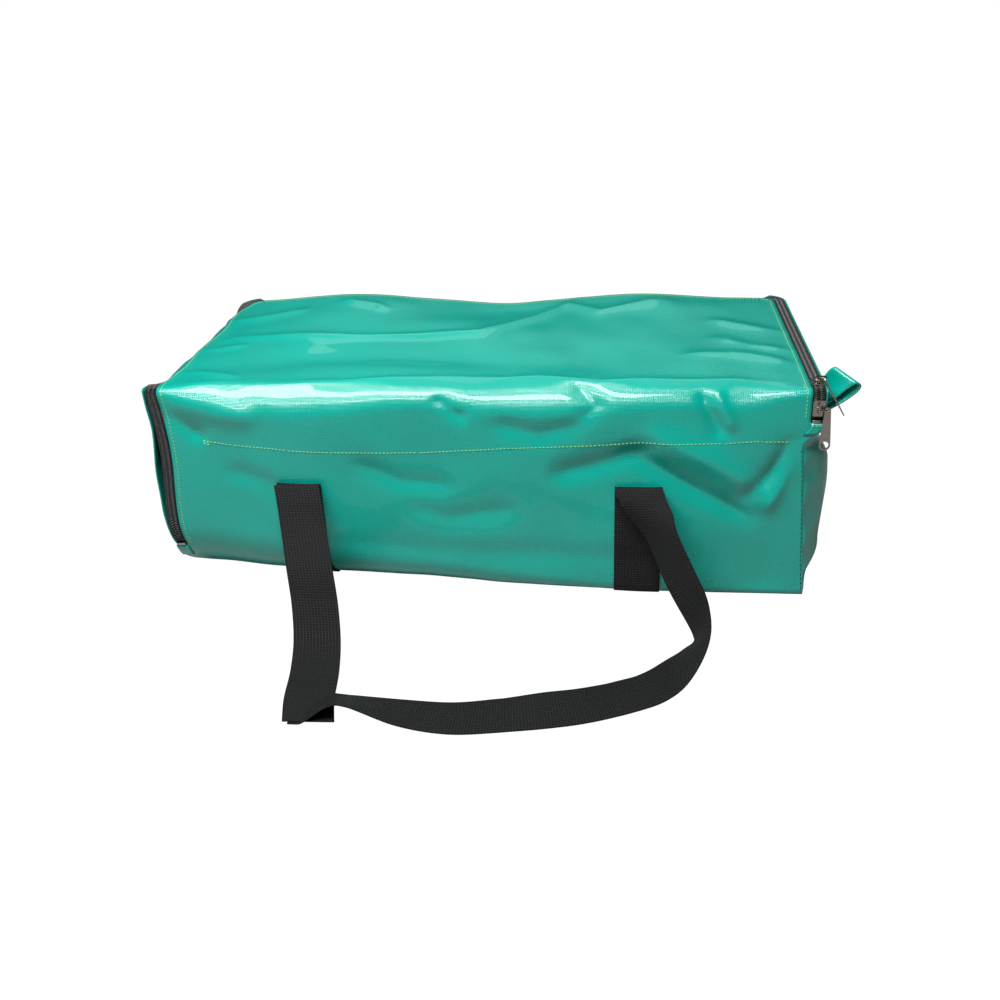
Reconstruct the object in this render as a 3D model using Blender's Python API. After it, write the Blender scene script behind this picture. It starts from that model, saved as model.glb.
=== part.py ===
"""Zipped carry bag in coated tarpaulin, with a front-hinged lid and two webbing handles.

Metres, +Z up. X runs along the bag, the front faces -Y and the bag stands on z = 0.
"""
from math import acos, cos, pi, radians, sin

import bmesh
import bpy
from mathutils import Matrix, Vector

# ---- driving dimensions -------------------------------------------------
LENGTH = 0.700          # outside, end panel to end panel
DEPTH = 0.340           # outside, front panel to back panel
HEIGHT = 0.240          # floor to the top of the lid
PANEL = 0.0015          # tarpaulin with its turned hem
FOLD_R = 0.008          # outside radius of the fold between front and lid
HINGE_FLAT = 0.004      # flat of the front panel between its fold and the hinge line
ZIP_CORNER_R = 0.018    # radius of the zip's centre line round the back corners
TAPE = 0.0008           # zip tape thickness
TAPE_W = 0.0120         # zip tape, centre line to its sewn edge
COIL_W = 0.0045         # width of one half of the coil
COIL_H = 0.0026         # height of the coil over its tape
CHAIN_GAP = 0.0014      # slot between the two halves, where the slider's post runs
SLIDER_W = 0.0120
SLIDER_L = 0.0170
PLATE = 0.0015          # slider plates
POST_W = 0.0008
POST_L = 0.003
POST_BACK = 0.0005      # the post stands this far back from the nose
BAIL_WIRE = 0.0015
BAIL_ROOM = 0.0025      # free height under the bail
BAIL_L = 0.012
BAIL_LEG = 0.0017
LINK_R = 0.0020         # mid radius of the link between bail and pull tab
LINK_WIRE = 0.00085     # radius of the link's wire
TAB_L = 0.044
TAB_HEAD = 0.0030       # half width of the pull tab at its link
TAB_EYE_R = 0.0016      # hole that the link runs through
TAB_HANG = 0.0005       # the link sits this far above the middle of that hole
TAB_FOOT = 0.00575      # half width of the pull tab at its far end
TAB = 0.0014
TAB_SLOT_R = 0.004      # finger hole in the pull tab
TAB_RIM = 0.0012        # raised rim of the pull tab
TAB_SUNK = 0.0003       # depth of its sunk panel
REAR_TAB_DROP = 60.0    # degrees that the rear pull tab hangs below level
LEFT_ZIP_END = 0.060    # height at which the zip ends on the front left corner
ZIP_STUB = 0.035        # how far the zip runs down the front right corner
STOP_L = 0.003          # length of a zip stop
ZIP_FACING = 0.0012     # fabric sewn over each zip end
ZIP_FACING_H = 0.012
FACING_DROP = 0.061     # top of the bag down to the stitch line across the front
FACING_DEPTH = 0.050    # how far the inside facing hangs from that line
BINDING = 0.001
BINDING_W = 0.010
WEBBING = 0.0016
WEBBING_W = 0.050
HANDLE_SPAN = 0.368     # between the centres of the two handle ends
HANDLE_SHIFT = -0.019   # the handles sit a little left of the middle
ANCHOR_TOP = 0.131      # top edge of the sewn webbing bands
LOOP_W = 0.030          # grab loop, along Y
LOOP_WALL = 0.0012
LOOP_BEND_R = 0.009     # outside radius of the grab loop's round end
LOOP_REACH = 0.026      # round end, out from the end panel
LOOP_RISE = 0.024       # round end, up from the sewn foot
LOOP_DROP = 0.028       # top of the bag down to the grab loop's foot
D_WIRE = 0.0011
D_HALF = 0.0135         # half the inside width of the D-ring, and its bend radius
CHAPE_W = 0.022
CHAPE_DROP = 0.013      # grab loop's foot down to the D-ring's pivot
CHAPE_TOP = 0.0052      # chape over the pivot

# ---- clearances ---------------------------------------------------------
GAP = 0.0003            # between pieces that are sewn together or touch
SLIDER_CLEAR = 0.0005   # slider to the fabric at each side
HANDLE_CLEAR = 0.0007   # sewn band to the end of the handle
LOOP_CLEAR = 0.0035     # rear pull tab to the grab loop
REAR_SLIDER_BACK = 0.001    # rear slider's nose to the fold
FRONT_SLIDER_DOWN = 0.002   # front slider's nose to the fold
CUT_OVER = 0.010        # how far a cutter runs past what it cuts

# ---- derived ------------------------------------------------------------
X_OUT = LENGTH / 2
Y_OUT = DEPTH / 2
ZIP_INSET = PANEL + SLIDER_CLEAR + SLIDER_W / 2      # zip centre line to the outside face
X_ZIP = X_OUT - ZIP_INSET
Y_ZIP = Y_OUT - ZIP_INSET
LID_INSET = SLIDER_W / 2 + SLIDER_CLEAR              # zip centre line to the fabric's edge
Y_FOLD = -Y_OUT + FOLD_R
Z_FOLD = HEIGHT - FOLD_R
Y_HINGE = Y_FOLD + HINGE_FLAT
Y_CORNER = Y_ZIP - ZIP_CORNER_R
TAPE_TOP = -PANEL - GAP                              # measured from the fabric's outside face
TAPE_LOW = TAPE_TOP - TAPE
COIL_LOW = TAPE_TOP + GAP
COIL_TOP = COIL_LOW + COIL_H
PLATE_LOW = COIL_TOP + GAP
PLATE_TOP = PLATE_LOW + PLATE
BAIL_AXIS = PLATE_TOP + BAIL_ROOM + BAIL_WIRE / 2
BOTTOM_TOP = TAPE_LOW - GAP
BOTTOM_LOW = BOTTOM_TOP - PLATE
WALL_LOW = PANEL + GAP                               # panels stand on the base panel
RIGHT_ZIP_END = HEIGHT - ZIP_STUB
REAR_SLIDER_Y = Y_FOLD + SLIDER_L / 2 + REAR_SLIDER_BACK
FRONT_SLIDER_Z = Z_FOLD - SLIDER_L / 2 - FRONT_SLIDER_DOWN
LINK_STRAIGHT = SLIDER_W / 2                         # so that the tab clears the slider's edge
FACING_LINE = HEIGHT - FACING_DROP
LOOP_FOOT_Z = HEIGHT - LOOP_DROP
CHAPE_Z = LOOP_FOOT_Z - CHAPE_DROP
BAND_Y = Y_OUT + GAP + WEBBING
HANDLE_Y = BAND_Y + HANDLE_CLEAR + WEBBING / 2       # pivot line of each handle
HANDLE_XS = (HANDLE_SHIFT - HANDLE_SPAN / 2, HANDLE_SHIFT + HANDLE_SPAN / 2)
LOOP_Y = REAR_SLIDER_Y + TAB_FOOT + LOOP_CLEAR + LOOP_W / 2
D_X = X_OUT + GAP + D_WIRE + 2 * GAP + LOOP_WALL     # pivot of the D-ring
ARC_STEPS = 8


# ---- scene and materials ------------------------------------------------
def clear_scene():
    for thing in list(bpy.data.objects):
        bpy.data.objects.remove(thing, do_unlink=True)


def new_collection(name):
    group = bpy.data.collections.new(name)
    bpy.context.scene.collection.children.link(group)
    return group


def material(name, color, roughness, metallic=0.0):
    made = bpy.data.materials.new(name)
    made.use_nodes = True
    shader = made.node_tree.nodes["Principled BSDF"]
    shader.inputs["Base Color"].default_value = (*color, 1.0)
    shader.inputs["Roughness"].default_value = roughness
    shader.inputs["Metallic"].default_value = metallic
    return made


TARPAULIN = (0.0, 0.42, 0.31)
LINING = (0.0, 0.30, 0.22)
BLACK = (0.012, 0.012, 0.013)
NICKEL = (0.48, 0.44, 0.41)


# ---- helpers ------------------------------------------------------------
def add_object(name, bm, look, group, place=None):
    """Turn a bmesh into a named object with its own material."""
    bmesh.ops.recalc_face_normals(bm, faces=bm.faces)
    mesh = bpy.data.meshes.new(name)
    bm.to_mesh(mesh)
    bm.free()
    thing = bpy.data.objects.new(name, mesh)
    mesh.materials.append(material(name + "_material", *look))
    group.objects.link(thing)
    if place is not None:
        thing.matrix_world = place
    return thing


def box_mesh(low, high):
    bm = bmesh.new()
    size = [b - a for a, b in zip(low, high)]
    middle = [(a + b) / 2 for a, b in zip(low, high)]
    bmesh.ops.create_cube(bm, size=1.0)
    bmesh.ops.scale(bm, vec=size, verts=bm.verts)
    bmesh.ops.translate(bm, vec=middle, verts=bm.verts)
    return bm


def prism_mesh(outline, direction):
    """Extrude a closed outline of 3-D points along a direction."""
    bm = bmesh.new()
    face = bm.faces.new([bm.verts.new(p) for p in outline])
    made = bmesh.ops.extrude_face_region(bm, geom=[face])
    moved = [v for v in made["geom"] if isinstance(v, bmesh.types.BMVert)]
    bmesh.ops.translate(bm, vec=direction, verts=moved)
    return bm


def wall_mesh(outside, inside, direction):
    """Extrude the strip between two outlines of as many points along a direction."""
    bm = bmesh.new()
    rows = [[bm.verts.new(p) for p in outline] for outline in (outside, inside)]
    rungs = list(zip(*rows))
    faces = [bm.faces.new((*a, *reversed(b))) for a, b in zip(rungs, rungs[1:])]
    made = bmesh.ops.extrude_face_region(bm, geom=faces)
    moved = [v for v in made["geom"] if isinstance(v, bmesh.types.BMVert)]
    bmesh.ops.translate(bm, vec=direction, verts=moved)
    return bm


def modify(thing, kind, **settings):
    modifier = thing.modifiers.new(kind.title(), kind)
    for key, value in settings.items():
        setattr(modifier, key, value)
    return modifier


def cut(thing, cutter, operation="DIFFERENCE"):
    cutter.hide_render = True
    cutter.display_type = "WIRE"
    modify(thing, "BOOLEAN", operation=operation, solver="EXACT", object=cutter)


def arc(centre, radius, start, end, steps=ARC_STEPS):
    """Points of a circle in a plane, as pairs, from start to end in radians."""
    turn = [start + (end - start) * i / steps for i in range(steps + 1)]
    return [(centre[0] + radius * cos(a), centre[1] + radius * sin(a)) for a in turn]


def curve_object(name, points, radius, look, group, place):
    """A closed tube along a ring of points."""
    curve = bpy.data.curves.new(name, "CURVE")
    curve.dimensions = "3D"
    curve.bevel_depth = radius
    curve.bevel_resolution = 2
    spline = curve.splines.new("POLY")
    spline.points.add(len(points) - 1)
    for slot, point in zip(spline.points, points):
        slot.co = (*point, 1.0)
    spline.use_cyclic_u = True
    curve.materials.append(material(name + "_material", *look))
    thing = bpy.data.objects.new(name, curve)
    thing.matrix_world = place
    group.objects.link(thing)
    return thing


def frame_matrix(origin, x_axis, y_axis, z_axis):
    turned = Matrix((x_axis, y_axis, z_axis)).transposed().to_4x4()
    turned.translation = origin
    return turned


# ---- the zip's route ----------------------------------------------------
class Station:
    """A point of the zip's centre line, with its outward side and its face normal."""

    def __init__(self, point, out, normal):
        self.point = Vector(point)
        self.out = Vector(out)
        self.normal = Vector(normal)


def corner_run(side, low_z):
    """From the zip's low end on one front corner, up and over the fold, to the hinge line."""
    x = side * X_ZIP
    out = (side, 0, 0)
    run = [Station((x, -Y_OUT, low_z), out, (0, -1, 0))]
    for y, z in arc((Y_FOLD, Z_FOLD), FOLD_R, pi, pi / 2):
        run.append(Station((x, y, z), out, ((0, y - Y_FOLD, z - Z_FOLD))))
        run[-1].normal.normalize()
    return run


def lid_run():
    """Round the lid from the right end of the hinge line to the left end."""
    run = [Station((X_ZIP, Y_HINGE + GAP / 2, HEIGHT), (1, 0, 0), (0, 0, 1))]
    for side, start, end in ((1, 0, pi / 2), (-1, pi / 2, pi)):
        centre = (side * (X_ZIP - ZIP_CORNER_R), Y_CORNER)
        for x, y in arc(centre, ZIP_CORNER_R, start, end):
            out = Vector((x - centre[0], y - centre[1], 0)).normalized()
            run.append(Station((x, y, HEIGHT), out, (0, 0, 1)))
    run.append(Station((-X_ZIP, Y_HINGE + GAP / 2, HEIGHT), (-1, 0, 0), (0, 0, 1)))
    return run


def to_hinge(run, side):
    """A corner run with its last flat stretch up to the hinge line."""
    return run + [Station((side * X_ZIP, Y_HINGE - GAP / 2, HEIGHT), (side, 0, 0), (0, 0, 1))]


def strip_mesh(lines, thickness):
    """A thin band between two lines of points, thickened about its middle surface."""
    count = len(lines)
    bm = bmesh.new()
    bmesh.ops.create_grid(bm, x_segments=count - 1, y_segments=1, size=0.5)
    bm.verts.ensure_lookup_table()
    ordered = sorted(bm.verts, key=lambda v: (round(v.co.x, 6), v.co.y))
    for i, (near, far) in enumerate(lines):
        ordered[2 * i].co = near
        ordered[2 * i + 1].co = far
    bmesh.ops.recalc_face_normals(bm, faces=bm.faces)
    bm.normal_update()
    shift = {v: v.normal.copy() * thickness / 2 for v in bm.verts}
    under = bmesh.ops.extrude_face_region(bm, geom=list(bm.faces))
    upper = [v for v in under["geom"] if isinstance(v, bmesh.types.BMVert)]
    lower = [v for v in bm.verts if v not in set(upper)]
    by_place = {tuple(round(c, 7) for c in v.co): shift[v] for v in lower}
    for v in upper:
        v.co += by_place[tuple(round(c, 7) for c in v.co)]
    for v in lower:
        v.co -= shift[v]
    bmesh.ops.recalc_face_normals(bm, faces=bm.faces)
    return bm


def zip_strip(name, run, side_from, side_to, low, high, look, group):
    """One band of the zip: its range across the centre line and over the fabric's face."""
    middle = (low + high) / 2
    lines = []
    for station in run:
        at = station.point + station.normal * middle
        lines.append((at + station.out * side_from, at + station.out * side_to))
    return add_object(name, strip_mesh(lines, high - low), look, group)


# ---- fabric shell -------------------------------------------------------
def plan_outline(inset, y_front, z):
    """Outline of the bag seen from above, this far inside its outside faces."""
    radius = ZIP_CORNER_R + ZIP_INSET - inset
    x = X_OUT - inset - radius
    y = Y_OUT - inset - radius
    points = [(X_OUT - inset, y_front, z)]
    points += [(*p, z) for p in arc((x, y), radius, 0, pi / 2)]
    points += [(*p, z) for p in arc((-x, y), radius, pi / 2, pi)]
    points.append((-X_OUT + inset, y_front, z))
    return points


def make_base_panel(group, looks):
    add_object("base_panel", prism_mesh(plan_outline(0, -Y_OUT, 0), (0, 0, PANEL)), looks, group)


def make_front_panel(group, cutters, look):
    """Front, fold and the first of the top; the corners above each zip end are cut out."""
    top = Y_HINGE - GAP / 2
    wide = X_OUT
    inner_r = FOLD_R - PANEL
    profile = [(-Y_OUT, WALL_LOW)]
    profile += arc((Y_FOLD, Z_FOLD), FOLD_R, pi, pi / 2)
    profile += [(top, HEIGHT), (top, HEIGHT - PANEL)]
    profile += arc((Y_FOLD, Z_FOLD), inner_r, pi / 2, pi)
    profile += [(-Y_OUT + PANEL, WALL_LOW)]
    bm = prism_mesh([(-wide, y, z) for y, z in profile], (2 * wide, 0, 0))
    panel = add_object("front_panel", bm, look, group)
    for side, end in ((-1, LEFT_ZIP_END), (1, RIGHT_ZIP_END)):
        edge, beyond = side * (X_ZIP - LID_INSET), side * (X_OUT + CUT_OVER)
        low = (min(edge, beyond), -Y_OUT - CUT_OVER, end - 2 * GAP)
        high = (max(edge, beyond), Y_HINGE + CUT_OVER, HEIGHT + CUT_OVER)
        notch = add_object(f"front_notch_{side}", box_mesh(low, high), look, cutters)
        cut(panel, notch)


def make_back_panel(group, look):
    """Back and both round back corners, as one wall."""
    y_seam = Y_CORNER + GAP / 2
    outlines = [plan_outline(inset, y_seam, WALL_LOW) for inset in (0, PANEL)]
    bm = wall_mesh(*outlines, (0, 0, HEIGHT - WALL_LOW))
    add_object("back_panel", bm, look, group)


def make_end_panels(group, look):
    y_front = -Y_OUT + PANEL + GAP
    for side, name in ((-1, "left_end_panel"), (1, "right_end_panel")):
        xs = sorted((side * X_OUT, side * (X_OUT - PANEL)))
        bm = box_mesh((xs[0], y_front, WALL_LOW), (xs[1], Y_CORNER - GAP / 2, HEIGHT))
        add_object(name, bm, look, group)


def make_lid(group, look):
    low = HEIGHT - PANEL
    outline = plan_outline(ZIP_INSET + LID_INSET, Y_HINGE + GAP / 2, low)
    lid = add_object("lid_panel", prism_mesh(outline, (0, 0, PANEL)), look, group)
    lid.data.transform(Matrix.Translation((0, -Y_HINGE, -HEIGHT)))
    lid.location = (0, Y_HINGE, HEIGHT)


def make_facings(group, look):
    """Inside facing behind the front stitch line, and the facings over both zip ends."""
    y = -Y_OUT + PANEL + GAP
    half = X_ZIP - TAPE_W - 2 * BINDING
    low, high = (-half, y, FACING_LINE - FACING_DEPTH), (half, y + BINDING, FACING_LINE)
    add_object("front_inner_facing", box_mesh(low, high), look, group)
    ends = ((-1, LEFT_ZIP_END, "left_zip_facing"), (1, RIGHT_ZIP_END, "right_zip_facing"))
    for side, end, name in ends:
        xs = sorted((side * (X_ZIP - LID_INSET), side * X_OUT))
        low = (xs[0], -Y_OUT - GAP - ZIP_FACING, end - GAP - ZIP_FACING_H)
        high = (xs[1], -Y_OUT - GAP, end - GAP)
        add_object(name, box_mesh(low, high), look, group)


def make_bindings(group, cutters, look):
    """Bound seam allowances inside the bag: round the base and up three corners."""
    inset = PANEL + GAP
    y_front = -Y_OUT + inset
    ring = prism_mesh(plan_outline(inset, y_front, WALL_LOW), (0, 0, BINDING_W))
    hole_outline = plan_outline(inset + BINDING, y_front + BINDING, WALL_LOW - BINDING)
    hole = prism_mesh(hole_outline, (0, 0, BINDING_W + 2 * BINDING))
    base = add_object("base_seam_binding", ring, look, group)
    cut(base, add_object("base_binding_hole", hole, look, cutters))
    low_z = WALL_LOW + BINDING_W + GAP
    x = X_OUT - inset
    low = (x - BINDING_W, y_front, low_z)
    high = (x - GAP, y_front + BINDING, RIGHT_ZIP_END - ZIP_FACING_H)
    add_object("front_right_seam_binding", box_mesh(low, high), look, group)
    for side, name in ((-1, "back_left_seam_binding"), (1, "back_right_seam_binding")):
        xs = sorted((side * x, side * (x - BINDING)))
        low = (xs[0], Y_CORNER - BINDING_W, low_z)
        bm = box_mesh(low, (xs[1], Y_CORNER - GAP, HEIGHT + BOTTOM_LOW - BINDING_W))
        add_object(name, bm, look, group)


# ---- zip ----------------------------------------------------------------
def make_zip(group, look):
    """Tapes and coils: the body side in one length, the other side in three."""
    edge = CHAIN_GAP / 2
    left = to_hinge(corner_run(-1, LEFT_ZIP_END), -1)
    right = to_hinge(corner_run(1, RIGHT_ZIP_END), 1)
    whole = right + lid_run() + left[::-1]
    body_edge = ZIP_INSET - PANEL - GAP
    tape = (TAPE_LOW, TAPE_TOP)
    zip_strip("body_zip_tape", whole, edge, body_edge, *tape, look, group)
    zip_strip("lid_zip_tape", lid_run(), -TAPE_W, -edge, *tape, look, group)
    zip_strip("front_left_zip_tape", left, -TAPE_W, -edge, *tape, look, group)
    zip_strip("front_right_zip_tape", right, -TAPE_W, -edge, *tape, look, group)
    left = to_hinge(corner_run(-1, LEFT_ZIP_END + STOP_L + 2 * GAP), -1)
    right = to_hinge(corner_run(1, RIGHT_ZIP_END + STOP_L + 2 * GAP), 1)
    whole = right + lid_run() + left[::-1]
    coil = (COIL_LOW, COIL_TOP)
    zip_strip("body_zip_coil", whole, edge, edge + COIL_W, *coil, look, group)
    zip_strip("lid_zip_coil", lid_run(), -edge - COIL_W, -edge, *coil, look, group)
    zip_strip("front_left_zip_coil", left, -edge - COIL_W, -edge, *coil, look, group)
    zip_strip("front_right_zip_coil", right, -edge - COIL_W, -edge, *coil, look, group)


def make_zip_stops(group, look):
    half = CHAIN_GAP / 2 + COIL_W
    ends = ((-1, LEFT_ZIP_END, "left_zip_stop"), (1, RIGHT_ZIP_END, "right_zip_stop"))
    for side, end, name in ends:
        low = (side * X_ZIP - half, -Y_OUT - COIL_TOP - GAP, end + GAP)
        high = (side * X_ZIP + half, -Y_OUT - COIL_LOW, end + GAP + STOP_L)
        add_object(name, box_mesh(low, high), look, group)


# ---- sliders, links and pull tabs ---------------------------------------
def slider_bodies(name, cutters, look, place):
    """The cutters' collection pieces that make up one slider besides its top plate."""
    half_w, half_l = SLIDER_W / 2, SLIDER_L / 2
    flange_in = CHAIN_GAP / 2 + COIL_W + GAP
    post_y = half_l - POST_BACK
    pieces = [box_mesh((-half_w, -half_l, BOTTOM_LOW), (half_w, half_l, BOTTOM_TOP))]
    post_low, post_high = BOTTOM_TOP - PLATE / 2, PLATE_LOW + PLATE / 2
    low = (-POST_W / 2, post_y - POST_L, post_low)
    pieces.append(box_mesh(low, (POST_W / 2, post_y, post_high)))
    for side in (-1, 1):
        xs = sorted((side * flange_in, side * half_w))
        pieces.append(box_mesh((xs[0], -half_l, COIL_LOW), (xs[1], half_l, PLATE_TOP - PLATE / 3)))
    bail_half, window_half = BAIL_L / 2, BAIL_L / 2 - BAIL_LEG
    bail_top = BAIL_AXIS + BAIL_WIRE / 2
    window_top = BAIL_AXIS - BAIL_WIRE / 2
    under = PLATE_TOP - PLATE / 2
    outline = [(-bail_half, under), (-bail_half, bail_top), (bail_half, bail_top), (bail_half, under)]
    outline += [(window_half, under), (window_half, window_top)]
    outline += [(-window_half, window_top), (-window_half, under)]
    bail = prism_mesh([(-BAIL_WIRE / 2, y, z) for y, z in outline], (BAIL_WIRE, 0, 0))
    bmesh.ops.bevel(bail, geom=bail.edges, offset=BAIL_WIRE / 5, segments=1, affect="EDGES",
                    profile=0.5, material=-1)
    pieces.append(bail)
    return [add_object(f"{name}_piece_{i}", bm, look, cutters, place) for i, bm in enumerate(pieces)]


def make_slider(name, place, group, cutters, look):
    """Two plates joined by the post at the nose, with flanges and a bail."""
    half_w, half_l = SLIDER_W / 2, SLIDER_L / 2
    top = box_mesh((-half_w, -half_l, PLATE_LOW), (half_w, half_l, PLATE_TOP))
    upright = [e for e in top.edges if abs(e.verts[0].co.z - e.verts[1].co.z) > PLATE / 2]
    bmesh.ops.bevel(top, geom=upright, offset=half_w / 3, segments=3, affect="EDGES",
                    profile=0.5, material=-1)
    slider = add_object(name, top, look, group, place)
    for piece in slider_bodies(name, cutters, look, place):
        cut(slider, piece, "UNION")


def make_link(name, place, group, look):
    """Oval link round the bail; its plane is square to the zip."""
    ring = [(x, 0, z) for x, z in arc((0, 0), LINK_R, pi / 2, 3 * pi / 2)]
    ring += [(x, 0, z) for x, z in arc((LINK_STRAIGHT, 0), LINK_R, -pi / 2, pi / 2)]
    curve_object(name, ring, LINK_WIRE, look, group, place)


def make_tab(name, place, group, cutters, look):
    """Tapered pull tab hanging along -Y of its own frame, thin along Z."""
    head_y = -TAB_HANG
    outline = arc((0, head_y), TAB_HEAD, pi, 0)
    outline += arc((0, -TAB_L + TAB_FOOT), TAB_FOOT, 0, -pi)
    bm = prism_mesh([(x, y, -TAB / 2) for x, y in outline], (0, 0, TAB))
    tab = add_object(name, bm, look, group, place)
    holes = ((head_y, TAB_EYE_R), (-TAB_L + TAB_FOOT, TAB_SLOT_R))
    for i, (y, radius) in enumerate(holes):
        hole = bmesh.new()
        bmesh.ops.create_cone(hole, cap_ends=True, segments=20, radius1=radius, radius2=radius,
                              depth=4 * TAB)
        bmesh.ops.translate(hole, vec=(0, y, 0), verts=hole.verts)
        cut(tab, add_object(f"{name}_hole_{i}", hole, look, cutters, place))
    panel_top, panel_low = -2 * TAB_HEAD - TAB_HANG, -TAB_L + 2 * TAB_FOOT + TAB_RIM
    narrow, wide = TAB_HEAD - TAB_RIM, TAB_FOOT - 1.6 * TAB_RIM
    corners = ((-narrow, panel_top), (narrow, panel_top), (wide, panel_low), (-wide, panel_low))
    for i, z in enumerate((TAB / 2 - TAB_SUNK, -TAB / 2 - TAB)):
        panel = prism_mesh([(x, y, z) for x, y in corners], (0, 0, TAB + TAB_SUNK))
        cut(tab, add_object(f"{name}_panel_{i}", panel, look, cutters, place))


def make_front_slider(group, cutters, look):
    """On the front right corner: faces -Y, nose up; link and tab hang to its right."""
    x_axis, nose, out = Vector((1, 0, 0)), Vector((0, 0, 1)), Vector((0, -1, 0))
    centre = Vector((X_ZIP, -Y_OUT, FRONT_SLIDER_Z))
    make_slider("front_slider", frame_matrix(centre, x_axis, nose, out), group, cutters, look)
    pivot = centre + out * BAIL_AXIS
    make_link("front_pull_link", frame_matrix(pivot, x_axis, nose, out), group, look)
    hook = pivot + x_axis * (LINK_STRAIGHT + LINK_R)
    make_tab("front_pull_tab", frame_matrix(hook, x_axis, nose, out), group, cutters, look)


def make_rear_slider(group, cutters, look):
    """On the right end's top edge: faces up, nose to the front; the tab hangs outside."""
    side, nose, out = Vector((-1, 0, 0)), Vector((0, -1, 0)), Vector((0, 0, 1))
    centre = Vector((X_ZIP, REAR_SLIDER_Y, HEIGHT))
    make_slider("rear_slider", frame_matrix(centre, side, nose, out), group, cutters, look)
    pivot = centre + out * BAIL_AXIS
    right, back = Vector((1, 0, 0)), Vector((0, 1, 0))
    make_link("rear_pull_link", frame_matrix(pivot, right, back, out), group, look)
    drop = radians(REAR_TAB_DROP)
    down = Vector((cos(drop), 0, -sin(drop)))
    hook = pivot + right * LINK_STRAIGHT + down * LINK_R
    place = frame_matrix(hook, back, -down, back.cross(-down))
    make_tab("rear_pull_tab", place, group, cutters, look)


# ---- grab loop and D-ring -----------------------------------------------
def tangent_outline(foot, foot_r, top, top_r):
    """The outline round two circles, in the XZ plane."""
    span = Vector((top[0] - foot[0], top[1] - foot[1]))
    lean = span.angle_signed(Vector((1, 0)))
    half = acos((foot_r - top_r) / span.length)
    outline = arc(foot, foot_r, lean + half, lean + 2 * pi - half)
    outline += arc(top, top_r, lean - half, lean + half, 2 * ARC_STEPS)
    return outline


def make_grab_loop(group, cutters, look):
    """A strap folded into a loop and sewn by its foot to the right end panel."""
    foot_r = LOOP_WALL + GAP
    foot = (X_OUT + GAP + foot_r, LOOP_FOOT_Z)
    top = (foot[0] + LOOP_REACH, LOOP_FOOT_Z + LOOP_RISE)
    y = LOOP_Y - LOOP_W / 2
    outside = tangent_outline(foot, foot_r, top, LOOP_BEND_R)
    bm = prism_mesh([(x, y, z) for x, z in outside], (0, LOOP_W, 0))
    loop = add_object("grab_loop", bm, look, group)
    near_foot = (foot[0] + LOOP_REACH / 4, foot[1] + LOOP_RISE / 4)
    share = (LOOP_BEND_R - foot_r) / 4
    inside = tangent_outline(near_foot, foot_r + share - LOOP_WALL, top, LOOP_BEND_R - LOOP_WALL)
    bm = prism_mesh([(x, y - CUT_OVER, z) for x, z in inside], (0, LOOP_W + 2 * CUT_OVER, 0))
    cut(loop, add_object("grab_loop_inside", bm, look, cutters))
    low = (X_OUT + GAP, y, CHAPE_Z + CHAPE_TOP + GAP)
    high = (X_OUT + GAP + 2 * foot_r, y + LOOP_W, LOOP_FOOT_Z)
    cut(loop, add_object("grab_loop_tongue", box_mesh(low, high), look, cutters), "UNION")


def make_d_ring(group, cutters, tarpaulin, nickel):
    y = LOOP_Y
    low = (X_OUT + GAP, y - CHAPE_W / 2, CHAPE_Z - D_WIRE - 2 * LOOP_WALL)
    high = (D_X + D_WIRE + GAP + LOOP_WALL, y + CHAPE_W / 2, CHAPE_Z + CHAPE_TOP)
    chape = add_object("d_ring_chape", box_mesh(low, high), tarpaulin, group)
    bore = bmesh.new()
    radius = D_WIRE + GAP
    bmesh.ops.create_cone(bore, cap_ends=True, segments=20, radius1=radius, radius2=radius,
                          depth=CHAPE_W + CUT_OVER)
    turned = Matrix.Translation((D_X, y, CHAPE_Z)) @ Matrix.Rotation(pi / 2, 4, "X")
    cut(chape, add_object("d_ring_bore", bore, tarpaulin, cutters, turned))
    ring = [(0, a, b) for a, b in arc((0, 0), D_HALF, pi, 2 * pi, 2 * ARC_STEPS)]
    curve_object("d_ring", ring, D_WIRE, nickel, group, Matrix.Translation((D_X, y, CHAPE_Z)))


# ---- webbing ------------------------------------------------------------
def make_bands(group, look):
    """Webbing sewn flat on the front and the back, from the base seam up to each handle."""
    names = (("front_left_band", "front_right_band"), ("rear_left_band", "rear_right_band"))
    for side, row in zip((-1, 1), names):
        ys = sorted((side * (Y_OUT + GAP), side * BAND_Y))
        for x, name in zip(HANDLE_XS, row):
            low = (x - WEBBING_W / 2, ys[0], WALL_LOW)
            high = (x + WEBBING_W / 2, ys[1], ANCHOR_TOP)
            add_object(name, box_mesh(low, high), look, group)


def smooth(stations, steps=3):
    """Catmull-Rom points and directions through the stations."""
    ends = [stations[0]] + stations + [stations[-1]]
    made = []
    for i in range(1, len(ends) - 2):
        for k in range(steps):
            t = k / steps
            made.append([_blend(ends[i - 1][n], ends[i][n], ends[i + 1][n], ends[i + 2][n], t)
                         for n in (0, 1)])
    made.append(list(stations[-1]))
    return made


def _blend(a, b, c, d, t):
    return 0.5 * (2 * b + (c - a) * t + (2 * a - 5 * b + 4 * c - d) * t * t
                  + (3 * b - 3 * c + d - a) * t ** 3)


def strap_mesh(stations):
    """A webbing strap along its stations, each a centre and the direction of its width."""
    half = WEBBING_W / 2
    lines = []
    for centre, across in smooth([(Vector(c), Vector(w)) for c, w in stations]):
        across = across.normalized()
        at = centre.copy()
        at.z = max(at.z, half * abs(across.z) + WEBBING / 2 + GAP)
        lines.append((at - across * half, at + across * half))
    return strip_mesh(lines, WEBBING)


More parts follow.
